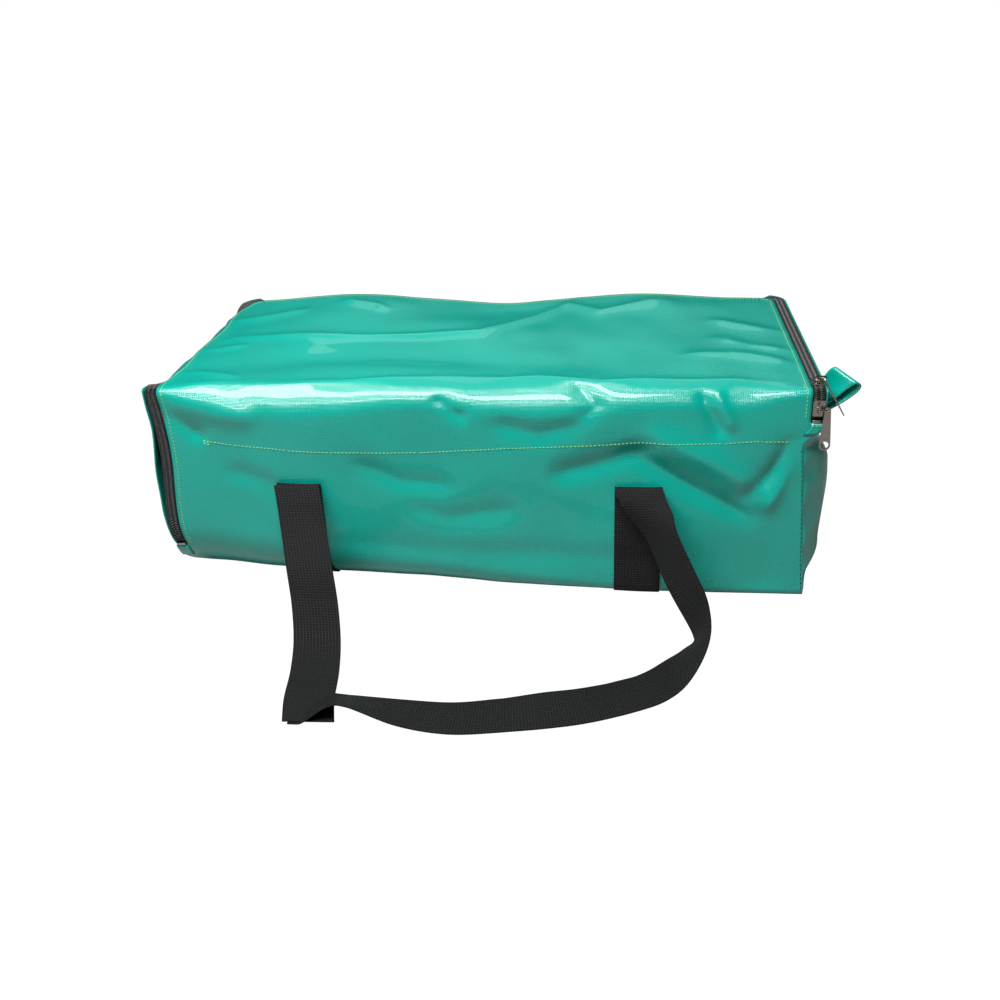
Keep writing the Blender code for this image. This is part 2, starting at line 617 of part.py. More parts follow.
def front_handle_routes(left_x, right_x):
    """The front handle lies on the floor before the bag: its left drop, and the rest."""
    top, y = ANCHOR_TOP, -HANDLE_Y
    mid = (left_x + right_x) / 2
    left = [
        ((left_x, y, top), (1, 0, 0)),
        ((left_x + 0.011, y - 0.033, top - 0.036), (1, 0, 0)),
        ((left_x + 0.024, y - 0.070, top - 0.064), (1, 0, 0)),
        ((left_x + 0.032, y - 0.092, top - 0.094), (1, 0, 0)),
        ((left_x + 0.039, y - 0.121, 0.012), (1, 0, 0)),
        ((left_x + 0.046, y - 0.162, 0.003), (1, 0.02, 0)),
        ((left_x + 0.052, y - 0.207, 0.003), (1, 0.03, 0)),
        ((left_x + 0.060, y - 0.242, 0.003), (1, 0.03, 0)),
    ]
    rest = [
        ((right_x, y, top), (1, 0, 0)),
        ((right_x + 0.006, y - 0.015, top - 0.011), (1, -0.1, 0.05)),
        ((right_x + 0.022, y - 0.030, top - 0.036), (0.62, -0.62, 0.48)),
        ((right_x + 0.043, y - 0.060, top - 0.073), (0.58, -0.60, 0.55)),
        ((right_x + 0.064, y - 0.091, 0.024), (0.24, -0.34, 0.90)),
        ((right_x + 0.056, y - 0.123, 0.016), (0.45, -0.62, 0.62)),
        ((right_x + 0.035, y - 0.152, 0.006), (0.52, -0.82, 0.20)),
        ((right_x + 0.015, y - 0.172, 0.003), (0.48, -0.87, 0.06)),
        ((right_x - 0.010, y - 0.185, 0.001), (0.40, -0.92, -0.03)),
        ((right_x - 0.051, y - 0.203, 0.003), (0.22, -0.96, -0.13)),
        ((right_x - 0.100, y - 0.213, 0.006), (0.12, -0.96, -0.24)),
        ((mid + 0.030, y - 0.224, 0.003), (0.05, -1, -0.10)),
        ((mid - 0.024, y - 0.226, 0.002), (0, -1, 0.05)),
        ((left_x + 0.128, y - 0.223, 0.006), (0, -0.98, 0.21)),
        ((left_x + 0.100, y - 0.220, 0.010), (0, -0.93, 0.37)),
        ((left_x + 0.078, y - 0.219, 0.002), (0, -1, 0.05)),
        ((left_x + 0.045, y - 0.219, 0.001), (0, -1, 0)),
    ]
    return left, rest


def rear_handle_route(left_x, right_x):
    """The rear handle has dropped behind the bag and lies close to it."""
    top, y = ANCHOR_TOP, HANDLE_Y
    return [
        ((left_x, y, top), (-1, 0, 0)),
        ((left_x - 0.002, y + 0.026, top - 0.014), (-1, 0, 0)),
        ((left_x - 0.006, y + 0.062, top - 0.058), (-0.95, 0.3, 0)),
        ((left_x - 0.002, y + 0.092, 0.034), (-0.6, 0.55, 0.58)),
        ((left_x + 0.028, y + 0.118, 0.026), (-0.15, 0.3, 0.94)),
        ((left_x + 0.085, y + 0.131, 0.026), (0, 0.22, 0.97)),
        ((0.5 * (left_x + right_x), y + 0.135, 0.026), (0, 0.20, 0.98)),
        ((right_x - 0.085, y + 0.131, 0.026), (0, 0.22, 0.97)),
        ((right_x - 0.028, y + 0.118, 0.026), (0.15, 0.3, 0.94)),
        ((right_x + 0.002, y + 0.092, 0.034), (0.6, 0.55, 0.58)),
        ((right_x + 0.006, y + 0.062, top - 0.058), (0.95, 0.3, 0)),
        ((right_x + 0.002, y + 0.026, top - 0.014), (1, 0, 0)),
        ((right_x, y, top), (1, 0, 0)),
    ]


def make_handles(group, cutters, look):
    """Each handle is one strap; its origin is on the line that it swings about."""
    left, rest = front_handle_routes(*HANDLE_XS)
    pivot = Matrix.Translation((0, -HANDLE_Y, ANCHOR_TOP))
    straps = []
    for route in (left, rest, rear_handle_route(*HANDLE_XS)):
        straps.append(strap_mesh(route))
    bmesh.ops.transform(straps[0], matrix=pivot.inverted(), verts=straps[0].verts)
    bmesh.ops.transform(straps[1], matrix=pivot.inverted(), verts=straps[1].verts)
    front = add_object("front_handle", straps[1], look, group, pivot)
    cut(front, add_object("front_handle_left", straps[0], look, cutters, pivot), "UNION")
    pivot = Matrix.Translation((0, HANDLE_Y, ANCHOR_TOP))
    bmesh.ops.transform(straps[2], matrix=pivot.inverted(), verts=straps[2].verts)
    add_object("rear_handle", straps[2], look, group, pivot)


def main():
    clear_scene()
    bag = new_collection("carry_bag")
    cutters = new_collection("cutters")
    tarpaulin = (TARPAULIN, 0.28)
    lining = (LINING, 0.45)
    black = (BLACK, 0.8)
    nickel = (NICKEL, 0.3, 1.0)
    make_base_panel(bag, tarpaulin)
    make_front_panel(bag, cutters, tarpaulin)
    make_back_panel(bag, tarpaulin)
    make_end_panels(bag, tarpaulin)
    make_lid(bag, tarpaulin)
    make_facings(bag, lining)
    make_bindings(bag, cutters, black)
    make_zip(bag, black)
    make_zip_stops(bag, nickel)
    make_front_slider(bag, cutters, nickel)
    make_rear_slider(bag, cutters, nickel)
    make_grab_loop(bag, cutters, tarpaulin)
    make_d_ring(bag, cutters, tarpaulin, nickel)
    make_bands(bag, black)
    make_handles(bag, cutters, black)


main()
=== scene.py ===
"""Looks of a zipped carry bag in coated tarpaulin, built round its fixed CAD frame.

Metres, +Z up, the front faces -Y. The tarpaulin is cut as flat panels whose points are moved to where
the filled bag holds them, so each panel keeps its cut size in its UV map.
"""
import logging
from dataclasses import dataclass
from enum import Enum
from math import cos, pi, radians, sin
from typing import Callable, Sequence

import bmesh
import bpy
import numpy as np
from mathutils import Matrix, Vector


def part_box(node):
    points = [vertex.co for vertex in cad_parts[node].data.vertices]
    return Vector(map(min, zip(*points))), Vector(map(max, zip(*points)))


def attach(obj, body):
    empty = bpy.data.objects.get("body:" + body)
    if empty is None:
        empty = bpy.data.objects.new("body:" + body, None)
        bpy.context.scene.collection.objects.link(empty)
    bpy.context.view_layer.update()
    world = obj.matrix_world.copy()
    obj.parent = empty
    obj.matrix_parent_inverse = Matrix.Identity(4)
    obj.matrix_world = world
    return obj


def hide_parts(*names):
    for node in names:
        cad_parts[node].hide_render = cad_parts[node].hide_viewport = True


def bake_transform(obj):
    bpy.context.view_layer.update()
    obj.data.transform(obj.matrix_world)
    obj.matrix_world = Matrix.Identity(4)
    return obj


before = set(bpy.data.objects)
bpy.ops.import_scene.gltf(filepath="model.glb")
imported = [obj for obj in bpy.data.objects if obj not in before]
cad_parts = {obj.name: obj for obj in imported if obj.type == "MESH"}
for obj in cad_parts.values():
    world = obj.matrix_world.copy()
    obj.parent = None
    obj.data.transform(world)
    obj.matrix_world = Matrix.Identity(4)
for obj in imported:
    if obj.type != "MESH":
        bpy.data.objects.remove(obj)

LOG = logging.getLogger("carry_bag")
CUT_MAP = "cut"
LID_TO_ZIP = 0.0065     # from the lid's cut edge to the zip's centre line
FACING_OFF = 0.0014     # the facings' outside over the front's
BAND_OFF = 0.0019       # the bands' outside over the panels'
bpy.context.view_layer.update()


class Side(Enum):
    """The two ends of the bag, as the sign of X."""

    LEFT = -1
    RIGHT = 1


def ramp(value: np.ndarray, low: float, high: float) -> np.ndarray:
    """Rise smoothly from 0 at low to 1 at high.

    Args:
        value: Where to read the ramp.
        low: Where it leaves 0.
        high: Where it reaches 1.

    Returns:
        The ramp at each value.
    """
    share = np.clip((np.asarray(value, float) - low) / (high - low), 0, 1)
    return share * share * (3 - 2 * share)


def spaced(stops: Sequence[float], step: float) -> np.ndarray:
    """Grid lines about step apart that pass through every stop."""
    runs = [np.linspace(a, b, max(2, round(abs(b - a) / step) + 1))[:-1] for a, b in zip(stops, stops[1:])]
    return np.concatenate([*runs, [stops[-1]]])


def linear(code: str) -> tuple[float, float, float, float]:
    """Turn an sRGB hex code to the linear colour that shaders take."""
    parts = [int(code[i:i + 2], 16) / 255 for i in (1, 3, 5)]
    return (*[p / 12.92 if p <= 0.04045 else ((p + 0.055) / 1.055) ** 2.4 for p in parts], 1.0)


# ---- finishes -----------------------------------------------------------
def node(tree: bpy.types.NodeTree, kind: str, inputs: dict | None = None,
         **settings: object) -> bpy.types.Node:
    """Add a shader node.

    Args:
        tree: The material's node tree.
        kind: The node's type name after "ShaderNode".
        inputs: Socket name or number to a value, or to an output socket to link from.
        **settings: Attributes of the node.

    Returns:
        The node.
    """
    made = tree.nodes.new("ShaderNode" + kind)
    for key, value in settings.items():
        setattr(made, key, value)
    for key, value in (inputs or {}).items():
        if isinstance(value, bpy.types.NodeSocket):
            tree.links.new(value, made.inputs[key])
        else:
            made.inputs[key].default_value = value
    return made


@dataclass(frozen=True)
class Finish:
    """One real surface: what it is made of and how it was worked."""

    name: str
    colour: str
    shade: str
    roughness: float
    metallic: float = 0.0
    coat: float = 0.0
    specular: float = 0.5

    def pattern(self, tree: bpy.types.NodeTree) -> tuple[object, object, float]:
        """Draw the surface's own pattern.

        Args:
            tree: The material's node tree.

        Returns:
            Mix between the two colours, height of the relief, and the relief's depth in metres.
        """
        place = node(tree, "TexCoord").outputs["Object"]
        grain = node(tree, "TexNoise", {"Vector": place, "Scale": 900.0, "Detail": 2.0})
        return grain.outputs["Fac"], grain.outputs["Fac"], 0.00003

    def material(self) -> bpy.types.Material:
        """Build the material, or hand back the one that is there."""
        found = bpy.data.materials.get(self.name)
        if found:
            return found
        made = bpy.data.materials.new(self.name)
        made.use_nodes = True
        tree = made.node_tree
        shader = tree.nodes["Principled BSDF"]
        mix, height, depth = self.pattern(tree)
        tones = {"Factor": mix, "A": linear(self.shade), "B": linear(self.colour)}
        colour = node(tree, "Mix", tones, data_type="RGBA")
        tree.links.new(colour.outputs["Result"], shader.inputs["Base Color"])
        bump = node(tree, "Bump", {"Height": height, "Distance": depth, "Strength": 1.0})
        tree.links.new(bump.outputs["Normal"], shader.inputs["Normal"])
        shader.inputs["Roughness"].default_value = self.roughness
        shader.inputs["Metallic"].default_value = self.metallic
        shader.inputs["Coat Weight"].default_value = self.coat
        shader.inputs["Specular IOR Level"].default_value = self.specular
        return made


def waves(tree: bpy.types.NodeTree, value: object, pitch: float) -> object:
    """A sine of this pitch in metres along a coordinate, from -1 to 1."""
    turned = node(tree, "Math", {0: value, 1: 2 * pi / pitch}, operation="MULTIPLY")
    return node(tree, "Math", {0: turned.outputs[0]}, operation="SINE").outputs[0]


def combine(tree: bpy.types.NodeTree, operation: str, a: object, b: object) -> object:
    """One sum of two values or sockets."""
    return node(tree, "Math", {0: a, 1: b}, operation=operation).outputs[0]


@dataclass(frozen=True)
class CoatedTarpaulin(Finish):
    """PVC laid over a polyester scrim: glossy film through which the diagonal scrim just prints."""

    scrim: float = 0.0025   # real scrim is about 1.8 mm; drawn coarser so that it shows
    relief: float = 0.00011

    def pattern(self, tree: bpy.types.NodeTree) -> tuple[object, object, float]:
        """Diagonal scrim under the film, with slow change of shade from handling."""
        place = node(tree, "UVMap", uv_map=CUT_MAP).outputs["UV"]
        axes = node(tree, "SeparateXYZ", {0: place})
        rise = combine(tree, "ADD", axes.outputs["X"], axes.outputs["Y"])
        fall = combine(tree, "SUBTRACT", axes.outputs["X"], axes.outputs["Y"])
        pitch = self.scrim * 2 ** 0.5
        weave = combine(tree, "MULTIPLY", waves(tree, rise, pitch), waves(tree, fall, pitch))
        film = node(tree, "TexNoise", {"Vector": place, "Scale": 160.0, "Detail": 2.0}).outputs["Fac"]
        height = combine(tree, "ADD", weave, combine(tree, "MULTIPLY", film, 1.5))
        cloud = node(tree, "TexNoise", {"Vector": place, "Scale": 9.0, "Detail": 3.0}).outputs["Fac"]
        mix = combine(tree, "ADD", cloud, combine(tree, "MULTIPLY", weave, 0.10))
        return mix, height, self.relief


@dataclass(frozen=True)
class Webbing(Finish):
    """Polypropylene webbing: dull, with a weft rib across it and warp yarns along it."""

    rib: float = 0.0029
    yarn: float = 0.0017

    def pattern(self, tree: bpy.types.NodeTree) -> tuple[object, object, float]:
        """Each warp yarn rises over every other rib, a half step from its neighbour."""
        axes = node(tree, "SeparateXYZ", {0: node(tree, "UVMap", uv_map=CUT_MAP).outputs["UV"]})
        ribs = waves(tree, axes.outputs["Y"], self.rib)
        yarns = waves(tree, axes.outputs["X"], 2 * self.yarn)
        cells = combine(tree, "MULTIPLY", ribs, yarns)
        height = combine(tree, "ADD", cells, combine(tree, "MULTIPLY", ribs, 0.55))
        fuzz = node(tree, "TexNoise", {"Vector": node(tree, "TexCoord").outputs["Object"], "Scale": 700.0})
        # Colour follows the relief: painted highlight on the raised yarns and painted shade in the weave's
        # hollows, with random fuzz over it.
        relief_shade_and_fuzz = combine(tree, "ADD", combine(tree, "MULTIPLY", height, 0.40), fuzz.outputs["Fac"])
        return combine(tree, "SUBTRACT", relief_shade_and_fuzz, 0.15), height, 0.0004


@dataclass(frozen=True)
class WovenTape(Finish):
    """Narrow woven polyester tape: fine twill lines, dull black."""

    twill: float = 0.0011

    def pattern(self, tree: bpy.types.NodeTree) -> tuple[object, object, float]:
        """Twill lines running slantwise along the tape."""
        axes = node(tree, "SeparateXYZ", {0: node(tree, "UVMap", uv_map=CUT_MAP).outputs["UV"]})
        slant = combine(tree, "ADD", axes.outputs["X"], axes.outputs["Y"])
        lines = waves(tree, slant, self.twill)
        # Colour follows the twill's relief: painted shade in its grooves, lighter on its raised lines.
        return combine(tree, "MULTIPLY_ADD", lines, 0.4), lines, 0.00012


@dataclass(frozen=True)
class BrightPaper(Finish):
    """Studio paper that is lit from behind, so that it stays white in the picture."""

    glow: float = 1.15
    share: float = 0.88

    def material(self) -> bpy.types.Material:
        """Build the paper's material: mostly its own light as the camera sees it."""
        made = super().material()
        tree = made.node_tree
        seen = combine(tree, "MULTIPLY", node(tree, "LightPath").outputs["Is Camera Ray"], self.share)
        light = node(tree, "Emission", {"Strength": self.glow}).outputs[0]
        paper = tree.nodes["Principled BSDF"].outputs[0]
        mixed = node(tree, "MixShader", {0: seen, 1: paper, 2: light}).outputs[0]
        tree.links.new(mixed, tree.nodes["Material Output"].inputs["Surface"])
        return made


TARPAULIN = CoatedTarpaulin("coated_tarpaulin_gloss", "#009C8C", "#008A7B", 0.22, coat=0.35, specular=0.50)
TARPAULIN_BACK = CoatedTarpaulin("coated_tarpaulin_back", "#0F7F72", "#0C7064", 0.50, relief=0.0002)
# Webbing: its darker colour is painted shade in the weave's hollows.
WEBBING = Webbing("polypropylene_webbing_woven", "#202020", "#030303", 0.66, specular=0.22)
# Zip tape and binding: their darker colour is painted shade in the twill's grooves.
ZIP_TAPE = WovenTape("polyester_zip_tape_twill", "#232223", "#121112", 0.80)
BINDING = WovenTape("polyester_binding_tape_woven", "#1E1D1E", "#101010", 0.85)
ZIP_COIL = Finish("nylon_coil_extruded", "#4A4949", "#2B2A2A", 0.35)
# Light grey strip along the lid's zip edge: a painted highlight for the shine along the zip.
ZIP_EDGE_HIGHLIGHT_PAINT = Finish("zip_edge_painted_highlight", "#6E6C6A", "#3A3938", 0.60)
THREAD = Finish("polyester_thread_twisted", "#8CBB5A", "#56BB88", 0.50)
DARK_THREAD = Finish("polyester_thread_dark", "#0B3B34", "#062620", 0.60)
CASTING = Finish("nickel_plated_zinc_casting", "#B4A9A2", "#8E847C", 0.27, metallic=1.0)
WIRE = Finish("nickel_plated_steel_wire_drawn", "#C8BFB8", "#A2988F", 0.18, metallic=1.0)
PAPER = BrightPaper("studio_paper_matt", "#9A9A9A", "#969696", 0.95, specular=0.1)


# ---- how the filled bag lies --------------------------------------------
@dataclass(frozen=True)
class Crease:
    """A fold in a panel along a polyline in the panel's cut coordinates."""

    points: tuple[tuple[float, float], ...]
    rise: float
    width: float
    sharpness: float = 2.0

    def at(self, across: np.ndarray, along: np.ndarray) -> np.ndarray:
        """Height of the fold at each point, fading at its two ends."""
        ends = np.array(self.points)
        lengths = np.linalg.norm(np.diff(ends, axis=0), axis=1)
        before = np.concatenate([[0], np.cumsum(lengths)])
        nearest, place = np.full(across.shape, 1e9), np.zeros(across.shape)
        for i, (start, end) in enumerate(zip(ends, ends[1:])):
            way = (end - start) / lengths[i]
            run = np.clip((across - start[0]) * way[0] + (along - start[1]) * way[1], 0, lengths[i])
            off = np.hypot(across - start[0] - run * way[0], along - start[1] - run * way[1])
            closer = off < nearest
            nearest, place = np.where(closer, off, nearest), np.where(closer, before[i] + run, place)
        share = place / before[-1]
        fade = ramp(share, 0, 0.25) * ramp(1 - share, 0, 0.25)
        return self.rise * fade * np.exp(-(nearest / self.width) ** self.sharpness)


def ripple(across: np.ndarray, along: np.ndarray, seed: int, size: float) -> np.ndarray:
    """Soft unevenness of a filled panel: slow waves in many directions.

    Args:
        across: Cut coordinate across the panel.
        along: Cut coordinate along it.
        seed: Which set of waves.
        size: Height of the larger waves.

    Returns:
        The height at each point.
    """
    luck = np.random.default_rng(seed)
    total = np.zeros(across.shape)
    for _ in range(14):
        length = luck.uniform(0.05, 0.22)
        turn, start = luck.uniform(0, pi), luck.uniform(0, 2 * pi)
        bent = along + 0.02 * np.sin(across * 21 + start)
        total += length / 0.22 * np.sin(2 * pi * (across * cos(turn) + bent * sin(turn)) / length + start)
    return total * size / 3


@dataclass(frozen=True)
class Slump:
    """The bag's outside faces and the ways its filling pushes them about."""

    x_out: float
    y_out: float
    height: float
    lid_x: float
    zip_x: float
    left_end: float        # height of the zip's left end
    right_end: float
    left_spread: float = 0.008
    roll: float = radians(72)
    toe_slope: float = 0.155
    toe_from: float = 0.150
    fold_r: float = 0.008
    soft_fold: float = 0.021

    def toe(self, x: np.ndarray) -> np.ndarray:
        """Radius of the soft bottom edge, which grows towards the left."""
        rise = self.toe_slope * (self.toe_from - x)
        return 0.007 + 0.5 * (rise + np.sqrt(rise * rise + 0.0001))

    def front_edge(self, x: np.ndarray, z: np.ndarray) -> tuple[np.ndarray, np.ndarray, np.ndarray]:
        """Section of the front near the floor: y, z, and the turn of its outward normal below level."""
        radius = self.toe(x)
        turn = np.where(z < radius, pi / 2 * (1 - z / radius), 0.0)
        y = -self.y_out + radius * (1 - np.cos(turn))
        return y, np.where(z < radius, radius * (1 - np.sin(turn)), z), turn

    def tuck(self, z: np.ndarray) -> np.ndarray:
        """How far the left end is drawn in near the floor."""
        return 0.033 * (1 - np.clip(z / 0.070, 0, 1)) ** 2

    def rolled(self, y: np.ndarray) -> np.ndarray:
        """Angle that the left end's zip is rolled over the edge of the lid."""
        return self.roll * ramp(y, -0.158, -0.125) * (1 - ramp(y, 0.105, 0.142))

    def lift(self, x: np.ndarray, y: np.ndarray, z: np.ndarray) -> np.ndarray:
        """How far the top stands over its cut height towards the back."""
        wave = 0.010 * np.exp(-((x + 0.20) / 0.10) ** 2) - 0.004 * np.exp(-(x / 0.050) ** 2)
        wave += 0.0075 * np.exp(-((x - 0.17) / 0.085) ** 2)
        return wave * ramp(y, 0.0, 0.15) * ramp(z, 0.13, 0.235)

    def back_rolled(self, x: np.ndarray) -> np.ndarray:
        """Angle that the zip along the back is rolled down behind the lid."""
        return self.roll * ramp(0.334 - np.abs(x), 0.0, 0.022)

    def behind(self, points: np.ndarray, edge: float) -> np.ndarray:
        """Roll points of the zip down over the lid's back edge.

        Args:
            points: Rows of x, y, z.
            edge: The lid's back edge.

        Returns:
            The moved points.
        """
        x, y, z = points.T.copy()
        angle = self.back_rolled(x) * (z > 0.2)
        out, drop = np.maximum(y - edge, 0), z - self.height
        over = out > 0
        turned_y = edge + out * np.cos(angle) + drop * np.sin(angle)
        turned_z = self.height - out * np.sin(angle) + drop * np.cos(angle)
        return np.stack([x, np.where(over, turned_y, y), np.where(over, turned_z, z)], axis=1)

    def settle(self, points: np.ndarray) -> np.ndarray:
        """Move points of the cut bag near its zip and top to where the filled bag holds them.

        Args:
            points: Rows of x, y, z.

        Returns:
            The moved points.
        """
        x, y, z = points.T.copy()
        spread = self.left_spread * (1 - 0.9 * ramp(y, 0.10, 0.15))
        x = x - spread * ramp(-x, 0.25, 0.335)
        front = 1 - ramp(y, -0.166, -0.150)
        left = ramp(-x, 0.31, 0.340)
        x += 0.0028 * np.cos(pi * (z - 0.172) / 0.09) * left * front
        x += left * (1 - front) * (0.0022 * np.sin(y * 47) - 0.0015)
        edge = -self.lid_x - spread
        angle = self.rolled(y) * (z > 0.2)
        out = np.maximum(edge - x, 0)
        drop = z - self.height
        bulge = 0.005 * (np.exp(-((y - 0.09) / 0.022) ** 2) + 0.8 * np.exp(-((y + 0.085) / 0.022) ** 2))
        over = (out > 0) & (angle > 0)
        turned_x = edge - out * np.cos(angle) - drop * np.sin(angle) - bulge * np.minimum(out / 0.004, 1)
        turned_z = self.height - out * np.sin(angle) + drop * np.cos(angle)
        x, z = np.where(over, turned_x, x), np.where(over, turned_z, z)
        z = z + self.lift(x, y, z)
        return np.stack([x, y, z], axis=1)


def panel_grid(across: np.ndarray, along: np.ndarray) -> bmesh.types.BMesh:
    """A flat panel whose grid lines stand at these distances, with its cut size in a UV map.

    Args:
        across: Distances of the lines across the panel.
        along: Distances of the lines along it.

    Returns:
        The panel, facing +Z.
    """
    bm = bmesh.new()
    columns, rows = len(across) - 1, len(along) - 1
    bmesh.ops.create_grid(bm, x_segments=columns, y_segments=rows, size=0.5)
    for vert in bm.verts:
        column, row = round((vert.co.x + 0.5) * columns), round((vert.co.y + 0.5) * rows)
        vert.co = (across[column], along[row], 0)
    layer = bm.loops.layers.uv.new(CUT_MAP)
    for face in bm.faces:
        for loop in face.loops:
            loop[layer].uv = loop.vert.co.xy
    return bm


def shape(bm: bmesh.types.BMesh, where: Callable[[np.ndarray, np.ndarray], np.ndarray]) -> None:
    """Move a flat panel's points to where the function puts them."""
    flat = np.array([vert.co for vert in bm.verts], float)
    for vert, place in zip(bm.verts, where(flat[:, 0], flat[:, 1])):
        vert.co = place


def trim(bm: bmesh.types.BMesh, gone: Callable[[Vector], bool]) -> None:
    """Cut away the faces whose centre the test picks."""
    waste = [face for face in bm.faces if gone(face.calc_center_median())]
    bmesh.ops.delete(bm, geom=waste, context="FACES")


def finished(name: str, bm: bmesh.types.BMesh, *looks: Finish) -> bpy.types.Object:
    """Turn a mesh into a piece of the scene.

    Args:
        name: The piece's name.
        bm: Its mesh, which is used up.
        *looks: Its finishes, the outside first.

    Returns:
        The object.
    """
    mesh = bpy.data.meshes.new(name)
    bm.to_mesh(mesh)
    bm.free()
    mesh.shade_smooth()
    for look in looks:
        mesh.materials.append(look.material())
    made = bpy.data.objects.new(name, mesh)
    bpy.context.scene.collection.objects.link(made)
    LOG.info("%s: %d faces", name, len(mesh.polygons))
    return made


def thicken(piece: bpy.types.Object, wall: float, offset: float = -1.0) -> None:
    """Give a sheet its thickness; a second finish, where there is one, goes on the inside."""
    solid = piece.modifiers.new("Wall", "SOLIDIFY")
    solid.thickness, solid.offset, solid.use_even_offset = wall, offset, False
    solid.material_offset = len(piece.data.materials) - 1
    solid.use_quality_normals = True


def fix(piece: bpy.types.Object, stands_for: str) -> bpy.types.Object:
    """Fasten a finished piece to the body in place of a CAD node.

    Args:
        piece: The piece.
        stands_for: The node that it replaces.

    Returns:
        The piece.
    """
    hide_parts(stands_for)
    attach(piece, "root")
    return piece


